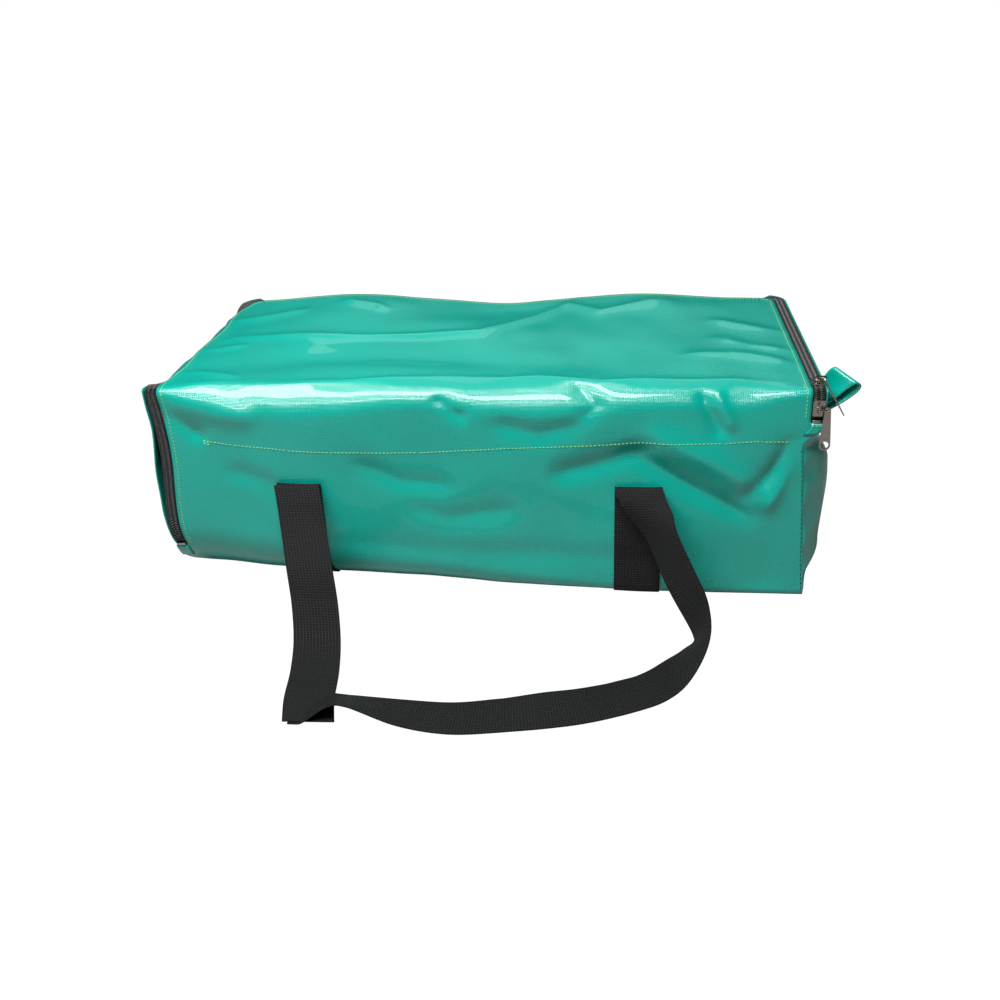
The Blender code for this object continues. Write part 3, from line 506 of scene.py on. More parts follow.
# ---- tarpaulin panels ---------------------------------------------------
@dataclass(frozen=True)
class FlapPanel:
    """Front and lid, which are one cloth bent over the hinge line."""

    bag: Slump
    lid_back: float
    corner_r: float = 0.0115
    step: float = 0.0031
    wall: float = 0.0012
    creases: tuple[Crease, ...] = (
        Crease(((-0.36, 0.411), (-0.20, 0.413), (-0.02, 0.422), (0.035, 0.480), (0.12, 0.60)),
               0.0050, 0.011, 1.5),
        Crease(((-0.37, 0.248), (-0.16, 0.262), (0.0, 0.276), (0.06, 0.274), (0.12, 0.256), (0.17, 0.268),
                (0.26, 0.266), (0.38, 0.254)), 0.0028, 0.008, 1.4),
        Crease(((-0.30, 0.350), (-0.10, 0.345), (0.10, 0.330)), -0.0035, 0.030),
        Crease(((0.06, 0.560), (0.12, 0.500), (0.22, 0.545)), 0.0040, 0.013, 1.4),
        Crease(((0.36, 0.300), (0.27, 0.345), (0.20, 0.350)), 0.0040, 0.012, 1.5),
        Crease(((0.36, 0.345), (0.29, 0.375), (0.24, 0.420)), 0.0036, 0.010, 1.5),
        Crease(((0.36, 0.420), (0.31, 0.435), (0.24, 0.480)), 0.0036, 0.012, 1.5),
        Crease(((-0.36, 0.480), (-0.30, 0.485), (-0.24, 0.520)), 0.0034, 0.010, 1.5),
        Crease(((-0.36, 0.370), (-0.32, 0.372), (-0.28, 0.390)), 0.0026, 0.008, 1.5),
        Crease(((-0.36, 0.290), (-0.32, 0.292), (-0.26, 0.275)), 0.0026, 0.008, 1.5),
        Crease(((-0.22, 0.54), (-0.16, 0.52), (-0.14, 0.50)), 0.0030, 0.009, 1.5),
        Crease(((0.06, 0.140), (0.12, 0.155), (0.19, 0.180)), -0.0060, 0.013, 1.7),
        Crease(((0.14, 0.178), (0.22, 0.130), (0.30, 0.085)), -0.0065, 0.012, 1.7),
        Crease(((0.16, 0.200), (0.24, 0.160), (0.31, 0.115)), 0.0050, 0.014, 1.7),
        Crease(((0.345, 0.196), (0.305, 0.150), (0.265, 0.110)), -0.0070, 0.011, 1.6),
        Crease(((0.345, 0.170), (0.325, 0.140), (0.290, 0.100)), 0.0050, 0.010, 1.6),
        Crease(((0.225, 0.250), (0.232, 0.222), (0.252, 0.182)), -0.0050, 0.007, 1.4),
        Crease(((0.238, 0.255), (0.247, 0.225), (0.262, 0.190)), 0.0040, 0.007, 1.4),
        Crease(((-0.36, 0.225), (-0.325, 0.205), (-0.290, 0.178)), -0.0060, 0.010, 1.7),
        Crease(((-0.34, 0.232), (-0.28, 0.214), (-0.23, 0.206)), 0.0035, 0.012),
        Crease(((-0.29, 0.150), (-0.24, 0.132), (-0.20, 0.090)), -0.0030, 0.012),
        Crease(((-0.15, 0.160), (-0.09, 0.135), (-0.02, 0.128)), -0.0035, 0.012, 1.6),
        Crease(((-0.10, 0.110), (-0.04, 0.092), (0.05, 0.104)), -0.0030, 0.013, 1.6),
        Crease(((-0.05, 0.240), (-0.030, 0.216), (-0.010, 0.206)), -0.0040, 0.008, 1.5),
        Crease(((0.095, 0.262), (0.120, 0.226), (0.10, 0.200)), -0.0040, 0.010, 1.6),
        Crease(((0.0, 0.205), (0.06, 0.190), (0.12, 0.205)), -0.0040, 0.012, 1.7),
        Crease(((-0.30, 0.066), (-0.10, 0.052), (0.10, 0.046), (0.30, 0.040)), -0.0020, 0.014),
    )

    def relief(self, x: np.ndarray, v: np.ndarray) -> np.ndarray:
        """Height of folds and unevenness over the panel's plain shape."""
        total = ripple(x, v, 11, 0.0016) + sum(crease.at(x, v) for crease in self.creases)
        margin = np.minimum(self.bag.lid_x - np.abs(x), self.bag.height + self.lid_back + self.bag.y_out - v)
        held = np.exp(-((v - self.bag.height) / 0.010) ** 2) * ramp(np.abs(x), 0.27, 0.32)
        return total * (0.25 + 0.75 * ramp(margin, 0.0, 0.035)) * (1 - 0.8 * held) * ramp(v, 0, 0.02)

    def right_seam(self, v: np.ndarray) -> np.ndarray:
        """How far the seam up the right corner is drawn in by the swelling of the end."""
        return np.interp(v, (0, 0.046, 0.118, 0.181, 0.199), (0.005, 0.009, 0.014, 0.019, 0.0))

    def place(self, x: np.ndarray, v: np.ndarray, off: float = 0.0) -> np.ndarray:
        """Where a point of the cut panel lies.

        Args:
            x: Distance across the cut panel from its middle.
            v: Distance up it from the base seam.
            off: Distance outside the cloth.

        Returns:
            Rows of x, y, z.
        """
        bag, high = self.bag, self.bag.height
        radius = bag.fold_r + bag.soft_fold * ramp(0.335 - np.abs(x), 0, 0.09) * (1 + 0.25 * np.sin(x * 23))
        y, z, turn = bag.front_edge(x, v)
        normal_y, normal_z = -np.cos(turn), -np.sin(turn)
        bend = np.clip((v - high + radius) / (2 * radius), 0, 1) * pi / 2
        round_y, round_z = -bag.y_out + radius * (1 - np.cos(bend)), high - radius * (1 - np.sin(bend))
        over = v > high - radius
        top = v > high + radius
        y, z = np.where(over, round_y, y), np.where(over, round_z, z)
        y = np.where(top, v - high - bag.y_out, y)
        normal_y, normal_z = np.where(over, -np.cos(bend), normal_y), np.where(over, np.sin(bend), normal_z)
        lift = self.relief(x, v) + off
        back = self.lid_back - y
        trimmed = np.where(back < self.corner_r, self.corner_r - np.sqrt(
            np.maximum(self.corner_r ** 2 - (self.corner_r - np.clip(back, 0, self.corner_r)) ** 2, 0)), 0)
        wide = x - np.sign(x) * trimmed * ramp(np.abs(x), 0.28, bag.lid_x)
        low = (1 - ramp(v, 0.196, 0.206))
        wide = wide - low * self.right_seam(v) * ramp(x, 0.29, bag.x_out)
        wide = wide + bag.tuck(v) * ramp(-x, 0.26, bag.x_out)
        low = np.maximum(z + normal_z * lift, 0.0002 + 0.7 * np.maximum(off, 0))
        return bag.settle(np.stack([wide, y + normal_y * lift, low], axis=1))

    def build(self) -> bpy.types.Object:
        """Cut and bend the panel, and bake its placement."""
        bag = self.bag
        end = bag.height + bag.y_out + self.lid_back
        across = spaced((-bag.x_out, -bag.lid_x, bag.lid_x, bag.x_out), self.step)
        along = spaced((0, bag.left_end, bag.right_end, bag.height, end), self.step)
        bm = panel_grid(across, along)
        trim(bm, lambda c: abs(c.x) > bag.lid_x and c.y > (bag.left_end if c.x < 0 else bag.right_end))
        shape(bm, self.place)
        panel = finished("front_and_lid_panel", bm, TARPAULIN, TARPAULIN_BACK)
        thicken(panel, self.wall)
        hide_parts("front_panel", "lid_panel")
        hang_over_hinge(panel)
        return panel


def hang_over_hinge(piece: bpy.types.Object) -> None:
    """Bake a piece's placement into its mesh."""
    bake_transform(piece)


@dataclass(frozen=True)
class BodyPanels:
    """Back, two ends and base: the fixed walls behind and under the flap."""

    bag: Slump
    flap: FlapPanel
    back_seam: float        # where the ends meet the wrapped back
    corner_r: float = 0.026
    step: float = 0.0045
    wall: float = 0.0012
    swell: float = 0.013

    def wrap(self) -> float:
        """Length of the back's cloth from one end's seam round to the other's."""
        straight = self.bag.y_out - self.corner_r - self.back_seam
        return 2 * (straight + self.corner_r * pi / 2 + self.bag.x_out - self.corner_r)

    def outline(self, length: np.ndarray) -> tuple[np.ndarray, np.ndarray, np.ndarray, np.ndarray]:
        """Plan of the back from its right seam round to its left one.

        Args:
            length: Distance along the plan.

        Returns:
            x, y, and the outward direction's x and y.
        """
        bag, r = self.bag, self.corner_r
        straight, quarter = bag.y_out - r - self.back_seam, r * pi / 2
        flat = 2 * (bag.x_out - r)
        half = straight + quarter + flat / 2
        mirror = np.where(length > half, -1.0, 1.0)
        run = np.where(length > half, 2 * half - length, length)
        turn = np.clip((run - straight) / r, 0, pi / 2)
        x = bag.x_out - r + r * np.cos(turn) - np.maximum(run - straight - quarter, 0)
        y = bag.y_out - r + r * np.sin(turn) + np.minimum(run - straight, 0)
        return mirror * x, y, mirror * np.cos(turn), np.sin(turn)

    def back_place(self, a: np.ndarray, v: np.ndarray, off: float = 0.0) -> np.ndarray:
        """Where a point of the wrapped back lies, this far outside its cloth."""
        x, y, out_x, out_y = self.outline(a)
        bag = self.bag
        dents = ripple(a, v, 23, 0.0022)
        for crease in (Crease(((0.12, 0.20), (0.25, 0.14), (0.40, 0.17)), -0.005, 0.016),
                       Crease(((0.45, 0.05), (0.60, 0.09), (0.70, 0.19)), -0.005, 0.014),
                       Crease(((0.30, 0.23), (0.33, 0.15), (0.31, 0.07)), 0.004, 0.014)):
            dents += crease.at(a, v)
        dents = dents * ramp(v, 0, 0.03) * ramp(bag.height - v, 0, 0.03)
        dents = dents - 0.004 * (1 - ramp(v, 0, 0.012)) + off
        rolled = np.sin(bag.back_rolled(x)) * ramp(y, 0.13, 0.165)
        dents = dents - 0.0095 * rolled * ramp(v, bag.height - 0.05, bag.height)
        low = v - 0.0125 * rolled * ramp(v, bag.height - 0.08, bag.height)
        points = np.stack([x + out_x * dents, y + out_y * dents, low], axis=1)
        points[:, 0] += bag.tuck(v) * ramp(-x, 0.30, bag.x_out) * 0.4
        return bag.settle(points)

    def right_place(self, y: np.ndarray, z: np.ndarray) -> np.ndarray:
        """Where a point of the right end lies: it swells beside its drawn-in front seam."""
        bag = self.bag
        seam = bag.x_out - self.flap.right_seam(z) * (1 - ramp(z, 0.196, 0.206))
        swell = self.swell * ramp(z, 0, 0.05) * (1 - ramp(z, 0.150, 0.180))
        from_front = y + bag.y_out
        full = bag.x_out + swell * (1 - ramp(y, -0.06, self.back_seam))
        share = np.sin(np.clip(from_front / 0.045, 0, 1) * pi / 2)
        quiet = (1 - ramp(z, 0.165, 0.185)) * ramp(z, 0, 0.02) * ramp(self.back_seam - y, 0, 0.04)
        puckers = 0.0022 * np.sin(z * 170 + 2 * np.sin(z * 31))
        puckers = puckers * np.exp(-from_front / 0.020) * ramp(from_front, 0, 0.004)
        x = seam + (full - seam) * share + quiet * (ripple(y, z, 31, 0.0022) * share + puckers)
        edge_y, edge_z, _ = bag.front_edge(np.full(y.shape, bag.x_out), z)
        near = 1 - ramp(from_front, 0, 0.05)
        return bag.settle(np.stack([x, y + (edge_y + bag.y_out) * near, z + (edge_z - z) * near], axis=1))

    def left_place(self, a: np.ndarray, z: np.ndarray) -> np.ndarray:
        """Where a point of the left end lies; a runs from the back to the front."""
        bag = self.bag
        y = -a
        out = bag.left_spread * (1 - ramp(y, -0.150, -0.125)) + 0.003 * np.exp(-((z - 0.18) / 0.05) ** 2)
        waist = 0.004 * ramp(z, 0.05, 0.10) * (1 - ramp(z, 0.13, 0.21)) * ramp(0.13 - y, 0, 0.1)
        quiet = ramp(z, 0, 0.03) * (1 - ramp(z, 0.19, 0.22)) * ramp(self.back_seam - y, 0, 0.04)
        x = -bag.x_out - out + bag.tuck(z) - waist + ripple(a, z, 47, 0.0024) * quiet
        top = bag.height - (bag.x_out - bag.lid_x) * np.sin(bag.rolled(y))
        edge_y, edge_z, _ = bag.front_edge(np.full(y.shape, -bag.x_out), z)
        near = 1 - ramp(y + bag.y_out, 0, 0.12)
        z_out = (z + (edge_z - z) * near) * (1 + (top / bag.height - 1) * ramp(z, 0.1, bag.height))
        wave = 0.0028 * np.cos(pi * (z - 0.172) / 0.09) * (1 - ramp(y, -0.166, -0.150)) * ramp(z, 0.05, 0.07)
        return np.stack([x + wave, y + (edge_y + bag.y_out) * near, z_out], axis=1)

    def base_place(self, x: np.ndarray, a: np.ndarray) -> np.ndarray:
        """Where a point of the base lies; a is -y, so that the base faces down."""
        bag = self.bag
        share = (-a + bag.y_out) / (2 * bag.y_out)
        front, _, _ = bag.front_edge(x, np.zeros(x.shape))
        past = np.clip(np.abs(x) - bag.x_out + self.corner_r, 0, self.corner_r)
        corner = self.corner_r - np.sqrt(np.maximum(self.corner_r ** 2 - past ** 2, 0))
        back = bag.y_out - 0.004 - corner
        y = front + (back - front) * share
        wide = x + (bag.tuck(np.zeros(x.shape)) * ramp(-x, 0.2, bag.x_out) * (1 - 0.6 * ramp(y, 0.0, 0.15)))
        wide -= 0.005 * ramp(x, 0.2, bag.x_out) * (1 - ramp(y, 0.0, 0.15))
        return np.stack([wide, y, np.zeros(x.shape)], axis=1)

    def build(self) -> list[bpy.types.Object]:
        """Cut and place all four panels."""
        bag, step = self.bag, self.step
        heights = spaced((0, bag.left_end, bag.right_end, bag.height), step)
        depth = spaced((-bag.y_out, -bag.y_out + 0.05, self.back_seam), step / 1.5)
        cuts = (
            ("back_wall", spaced((0, self.wrap()), step), heights, self.back_place, "back_panel"),
            ("right_end_wall", depth, heights, self.right_place, "right_end_panel"),
            ("left_end_wall", -depth[::-1], heights, self.left_place, "left_end_panel"),
            ("base_wall", spaced((-bag.x_out, bag.x_out), step), spaced((-bag.y_out, bag.y_out), step),
             self.base_place, "base_panel"),
        )
        made = []
        for name, across, along, where, stands_for in cuts:
            bm = panel_grid(across, along)
            shape(bm, where)
            panel = finished(name, bm, TARPAULIN, TARPAULIN_BACK)
            thicken(panel, self.wall)
            made.append(fix(panel, stands_for))
        return made


def sheet_piece(name: str, across: np.ndarray, along: np.ndarray, where: Callable, wall: float,
                *looks: Finish) -> bpy.types.Object:
    """Cut a strip of cloth, move it into place and give it its thickness."""
    bm = panel_grid(across, along)
    shape(bm, where)
    piece = finished(name, bm, *looks)
    thicken(piece, wall)
    return piece


def joined(first: bmesh.types.BMesh, second: bmesh.types.BMesh) -> bmesh.types.BMesh:
    """Add the second mesh to the first, using it up."""
    carrier = bpy.data.meshes.new("carrier")
    second.to_mesh(carrier)
    second.free()
    first.from_mesh(carrier)
    bpy.data.meshes.remove(carrier)
    return first


# ---- zip ----------------------------------------------------------------
@dataclass(frozen=True)
class ZipChain:
    """Tapes, coils and stops of the zip round the lid and down both front corners."""

    bag: Slump
    back_y: float           # centre line along the back
    corner_r: float = 0.018
    slot: float = 0.0007
    coil_w: float = 0.0045
    tape_w: float = 0.0120
    body_w: float = 0.0066
    tape_top: float = -0.0018
    tape: float = 0.0008
    pitch: float = 0.0021
    row_gap: float = 0.003
    coil_from: float = 0.0042   # the coil starts this far above the tape's end

    def line(self, left_low: float, right_low: float,
             step: float) -> tuple[np.ndarray, np.ndarray, np.ndarray]:
        """Walk the centre line from the right end, up, round the lid and down to the left end.

        Args:
            left_low: Height at which the left run stops.
            right_low: Height at which the right run starts.
            step: Distance between the points.

        Returns:
            Points, directions towards the body, and outward directions, a row each.
        """
        bag, r = self.bag, self.corner_r

        def half(side: Side, low: float) -> list[tuple[float, ...]]:
            """One half, from its low end to the end of its back corner."""
            s = side.value
            rows = [(s * bag.zip_x, -bag.y_out, low, s, 0, 0, 0, -1, 0)]
            for t in np.linspace(0, pi / 2, 9):
                y, z = -bag.y_out + bag.fold_r * (1 - cos(t)), bag.height - bag.fold_r * (1 - sin(t))
                rows.append((s * bag.zip_x, y, z, s, 0, 0, 0, -cos(t), sin(t)))
            for t in np.linspace(0, pi / 2, 9):
                x, y = s * (bag.zip_x - r + r * cos(t)), self.back_y - r + r * sin(t)
                rows.append((x, y, bag.height, s * cos(t), sin(t), 0, 0, 0, 1))
            return rows

        rows = np.array(half(Side.RIGHT, right_low) + half(Side.LEFT, left_low)[::-1])
        run = np.concatenate([[0], np.cumsum(np.linalg.norm(np.diff(rows[:, :3], axis=0), axis=1))])
        at = np.linspace(0, run[-1], round(run[-1] / step) + 1)
        walked = np.stack([np.interp(at, run, column) for column in rows.T], axis=1)
        return walked[:, :3], walked[:, 3:6], walked[:, 6:]

    def hold(self, points: np.ndarray) -> np.ndarray:
        """Move points on the zip with the soft bottom edge and the rest of the bag."""
        moved = points.copy()
        edge_y, edge_z, _ = self.bag.front_edge(moved[:, 0], moved[:, 2])
        low = (moved[:, 1] < 0) & (moved[:, 2] < self.bag.height / 2)
        moved[:, 1] += np.where(low, edge_y + self.bag.y_out, 0)
        moved[:, 2] = np.where(low, edge_z, moved[:, 2])
        return self.bag.settle(self.bag.behind(moved, self.back_y - LID_TO_ZIP))

    def strip(self, name: str, near: float, far: float, top: float, wall: float,
              look: Finish) -> bpy.types.Object:
        """A strip of tape between two distances from the centre line."""
        bag = self.bag
        centres, across, out = self.line(bag.left_end, bag.right_end, self.row_gap)
        rows = np.arange(len(centres)) * self.row_gap

        def where(w: np.ndarray, s: np.ndarray) -> np.ndarray:
            """Place the strip's points on the centre line."""
            i = np.rint(s / self.row_gap).astype(int)
            return self.hold(centres[i] + across[i] * w[:, None] + out[i] * top)

        return sheet_piece(name, np.linspace(near, far, 4), rows, where, wall, look)

    def coil(self, name: str, side: int) -> bpy.types.Object:
        """One half of the coil: a flattened loop of filament at each pitch."""
        low_ends = (self.bag.left_end + self.coil_from, self.bag.right_end + self.coil_from)
        centres, across, out = self.line(*low_ends, self.pitch)
        bm = bmesh.new()
        shift, reach = self.pitch / 4 * side, self.slot / 2 + self.coil_w / 2
        for i in range(1, len(centres) - 1):
            way = Vector(centres[i + 1] - centres[i - 1]).normalized()
            inward, normal = Vector(across[i]) * side, Vector(out[i])
            middle = Vector(centres[i]) + inward * reach - normal * 0.0003 + way * shift
            lean = (inward + way * 0.22).normalized()
            axes = (way * 0.00052, normal * 0.00125, lean * (self.coil_w + self.slot))
            turn = Matrix(axes).transposed().to_4x4()
            turn.translation = middle
            bmesh.ops.create_cone(bm, cap_ends=True, segments=8, radius1=1, radius2=1, depth=1, matrix=turn)
        self.settle_mesh(bm)
        bmesh.ops.recalc_face_normals(bm, faces=bm.faces)
        return finished(name, bm, ZIP_COIL)

    def settle_mesh(self, bm: bmesh.types.BMesh) -> None:
        """Move a whole mesh that stands on the zip with the bag."""
        for vert, place in zip(bm.verts, self.hold(np.array([vert.co for vert in bm.verts]))):
            vert.co = place

    def stop(self, side: Side, low: float) -> bpy.types.Object:
        """The metal stop clamped over the two tapes at one end of the zip."""
        bm = bmesh.new()
        bmesh.ops.create_cube(bm, size=1)
        bmesh.ops.scale(bm, vec=(0.0104, 0.0030, 0.0030), verts=bm.verts)
        bmesh.ops.bevel(bm, geom=bm.edges, offset=0.0006, segments=3, profile=0.5, affect="EDGES",
                        material=-1)
        place = (side.value * self.bag.zip_x, -self.bag.y_out, low + 0.0018)
        bmesh.ops.translate(bm, vec=place, verts=bm.verts)
        self.settle_mesh(bm)
        name = f"{side.name.lower()}_zip_stop"
        piece = finished(f"{name}_clamp", bm, CASTING)
        return fix(piece, name)

    def build(self) -> None:
        """Make both tapes, both coils, the light grey strip painted as a highlight along the lid's zip edge,
        and the stops.
        """
        flap_names = ("front_left_zip", "lid_zip", "front_right_zip")
        flap = [self.strip("flap_zip_tape", -self.tape_w, -self.slot, self.tape_top, self.tape, ZIP_TAPE),
                self.coil("flap_zip_coil", -1),
                # Light grey strip at the lid's edge: painted highlight.
                self.strip("flap_zip_painted_highlight", -0.0072, -0.0064, self.tape_top + 0.0007, 0.0007, ZIP_EDGE_HIGHLIGHT_PAINT)]
        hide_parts(*[f"{name}_tape" for name in flap_names])
        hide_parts(*[f"{name}_coil" for name in flap_names])
        for piece in flap:
            hang_over_hinge(piece)
        body = [self.strip("body_zip_tape_woven", self.slot, self.body_w, self.tape_top, self.tape, ZIP_TAPE),
                self.coil("body_zip_coil_loops", 1)]
        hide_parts("body_zip_tape")
        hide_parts("body_zip_coil")
        for piece in body:
            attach(piece, "root")
        self.stop(Side.LEFT, self.bag.left_end)
        self.stop(Side.RIGHT, self.bag.right_end)


# ---- sewing -------------------------------------------------------------
@dataclass(frozen=True)
class Stitching:
    """A machine's lockstitch: short raised threads with the holes between them."""

    length: float = 0.0030
    gap: float = 0.0011
    thick: float = 0.00052

    def row(self, bm: bmesh.types.BMesh, points: np.ndarray) -> None:
        """Add the stitches along a row of close points."""
        run = np.concatenate([[0], np.cumsum(np.linalg.norm(np.diff(points, axis=0), axis=1))])
        for start in np.arange(0, run[-1] - self.length, self.length + self.gap):
            a, b = (Vector([np.interp(d, run, column) for column in points.T])
                    for d in (start, start + self.length))
            turn = (b - a).to_track_quat("Z", "Y").to_matrix().to_4x4()
            turn.translation = (a + b) / 2
            size = Matrix.Diagonal((self.thick, self.thick, (b - a).length / 2, 1))
            bmesh.ops.create_uvsphere(bm, u_segments=6, v_segments=4, radius=1, matrix=turn @ size)

    def along(self, bm: bmesh.types.BMesh, route: Sequence[tuple[float, float]], where: Callable) -> None:
        """Sew along a route given in a panel's cut coordinates."""
        ends = np.array(route)
        for a, b in zip(ends, ends[1:]):
            count = max(2, round(np.linalg.norm(b - a) / 0.002) + 1)
            way = a + (b - a) * np.linspace(0, 1, count)[:, None]
            self.row(bm, where(way[:, 0], way[:, 1], 0.0002))


def sew_flap(flap: FlapPanel, bag: Slump) -> bpy.types.Object:
    """Rows along the zip's edges and the one across the front with its bar-tack."""
    bm, machine = bmesh.new(), Stitching()
    edge, end = bag.lid_x - 0.0052, bag.height + bag.y_out + flap.lid_back
    round_in = 0.009
    rim = [(-edge, bag.left_end + 0.003), (-edge, end - round_in - 0.004), (-edge + round_in, end - 0.0052),
           (edge - round_in, end - 0.0052), (edge, end - round_in - 0.004), (edge, bag.right_end + 0.003)]
    machine.along(bm, rim, flap.place)
    machine.along(bm, [(edge - 0.0022, bag.height + 0.004), (edge - 0.0022, bag.height + 0.018)], flap.place)
    line = [(-0.298, 0.181), (-0.268, 0.176), (-0.210, 0.170), (-0.164, 0.168), (-0.067, 0.168),
            (0.015, 0.174), (0.118, 0.178), (0.184, 0.182), (0.252, 0.182), (0.284, 0.184), (0.330, 0.183)]
    machine.along(bm, line, flap.place)
    for rise in (-0.0036, -0.0018):
        machine.along(bm, [(-0.298, 0.181 + rise), (-0.291, 0.180 + rise)], flap.place)
    machine.along(bm, [(-0.298, 0.1815), (-0.2975, 0.1765)], flap.place)
    low = bag.right_end - 0.0030
    machine.along(bm, [(bag.lid_x + 0.001, low), (bag.x_out - 0.001, low)],
                  lambda x, v, off: flap.place(x, v, off + FACING_OFF))
    piece = finished("flap_stitching", bm, THREAD)
    hang_over_hinge(piece)
    return piece


def sew_seam(flap: FlapPanel, bag: Slump) -> bpy.types.Object:
    """Dark thread up the right front seam."""
    bm, machine = bmesh.new(), Stitching(length=0.0034, gap=0.0022, thick=0.0005)
    machine.along(bm, [(bag.x_out - 0.002, 0.010), (bag.x_out - 0.002, 0.176)], flap.place)
    piece = finished("corner_seam_stitching", bm, DARK_THREAD)
    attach(piece, "root")
    return piece


# ---- webbing ------------------------------------------------------------
Stations = Sequence[tuple[Sequence[float], Sequence[float]]]


def smooth_stations(stations: Stations, step: float) -> tuple[np.ndarray, np.ndarray]:
    """Run a smooth line through a strap's stations.

    Args:
        stations: Centre of the strap and direction of its width, at each station.
        step: Distance between the points of the line.

    Returns:
        Centres and width directions, a row each, evenly spaced.
    """
    rows = np.array([[*centre, *across] for centre, across in stations], float)
    ends = np.vstack([rows[0], rows, rows[-1]])
    fine = []
    for a, b, c, d in zip(ends, ends[1:], ends[2:], ends[3:]):
        for t in np.linspace(0, 1, 16, endpoint=False):
            fine.append(0.5 * (2 * b + (c - a) * t + (2 * a - 5 * b + 4 * c - d) * t * t
                               + (3 * b - 3 * c + d - a) * t ** 3))
    fine = np.array([*fine, rows[-1]])
    run = np.concatenate([[0], np.cumsum(np.linalg.norm(np.diff(fine[:, :3], axis=0), axis=1))])
    at = np.linspace(0, run[-1], round(run[-1] / step) + 1)
    even = np.stack([np.interp(at, run, column) for column in fine.T], axis=1)
    across = even[:, 3:] / np.linalg.norm(even[:, 3:], axis=1)[:, None]
    return even[:, :3], across


def strap_mesh(stations: Stations, width: float, lowest: float,
               step: float = 0.003) -> tuple[bmesh.types.BMesh, float]:
    """Lay a strap along its stations, never lower than the floor allows.

    Args:
        stations: Centre and width direction at each station.
        width: Width of the strap.
        lowest: Least height of its middle surface.
        step: Distance between its cross rows.

    Returns:
        The strap's middle surface and its length.
    """
    centres, across = smooth_stations(stations, step)
    length = float(np.linalg.norm(np.diff(centres, axis=0), axis=1).sum())
    rows = np.linspace(0, length, len(centres))
    bm = panel_grid(np.linspace(-width / 2, width / 2, 9), rows)

    def where(w: np.ndarray, s: np.ndarray) -> np.ndarray:
        """Place the strap's points, none lower than the least height."""
        i = np.clip(np.rint(s / length * (len(centres) - 1)).astype(int), 0, len(centres) - 1)
        points = centres[i] + across[i] * w[:, None]
        points[:, 2] = np.maximum(points[:, 2], lowest)
        return points

    shape(bm, where)
    return bm, length


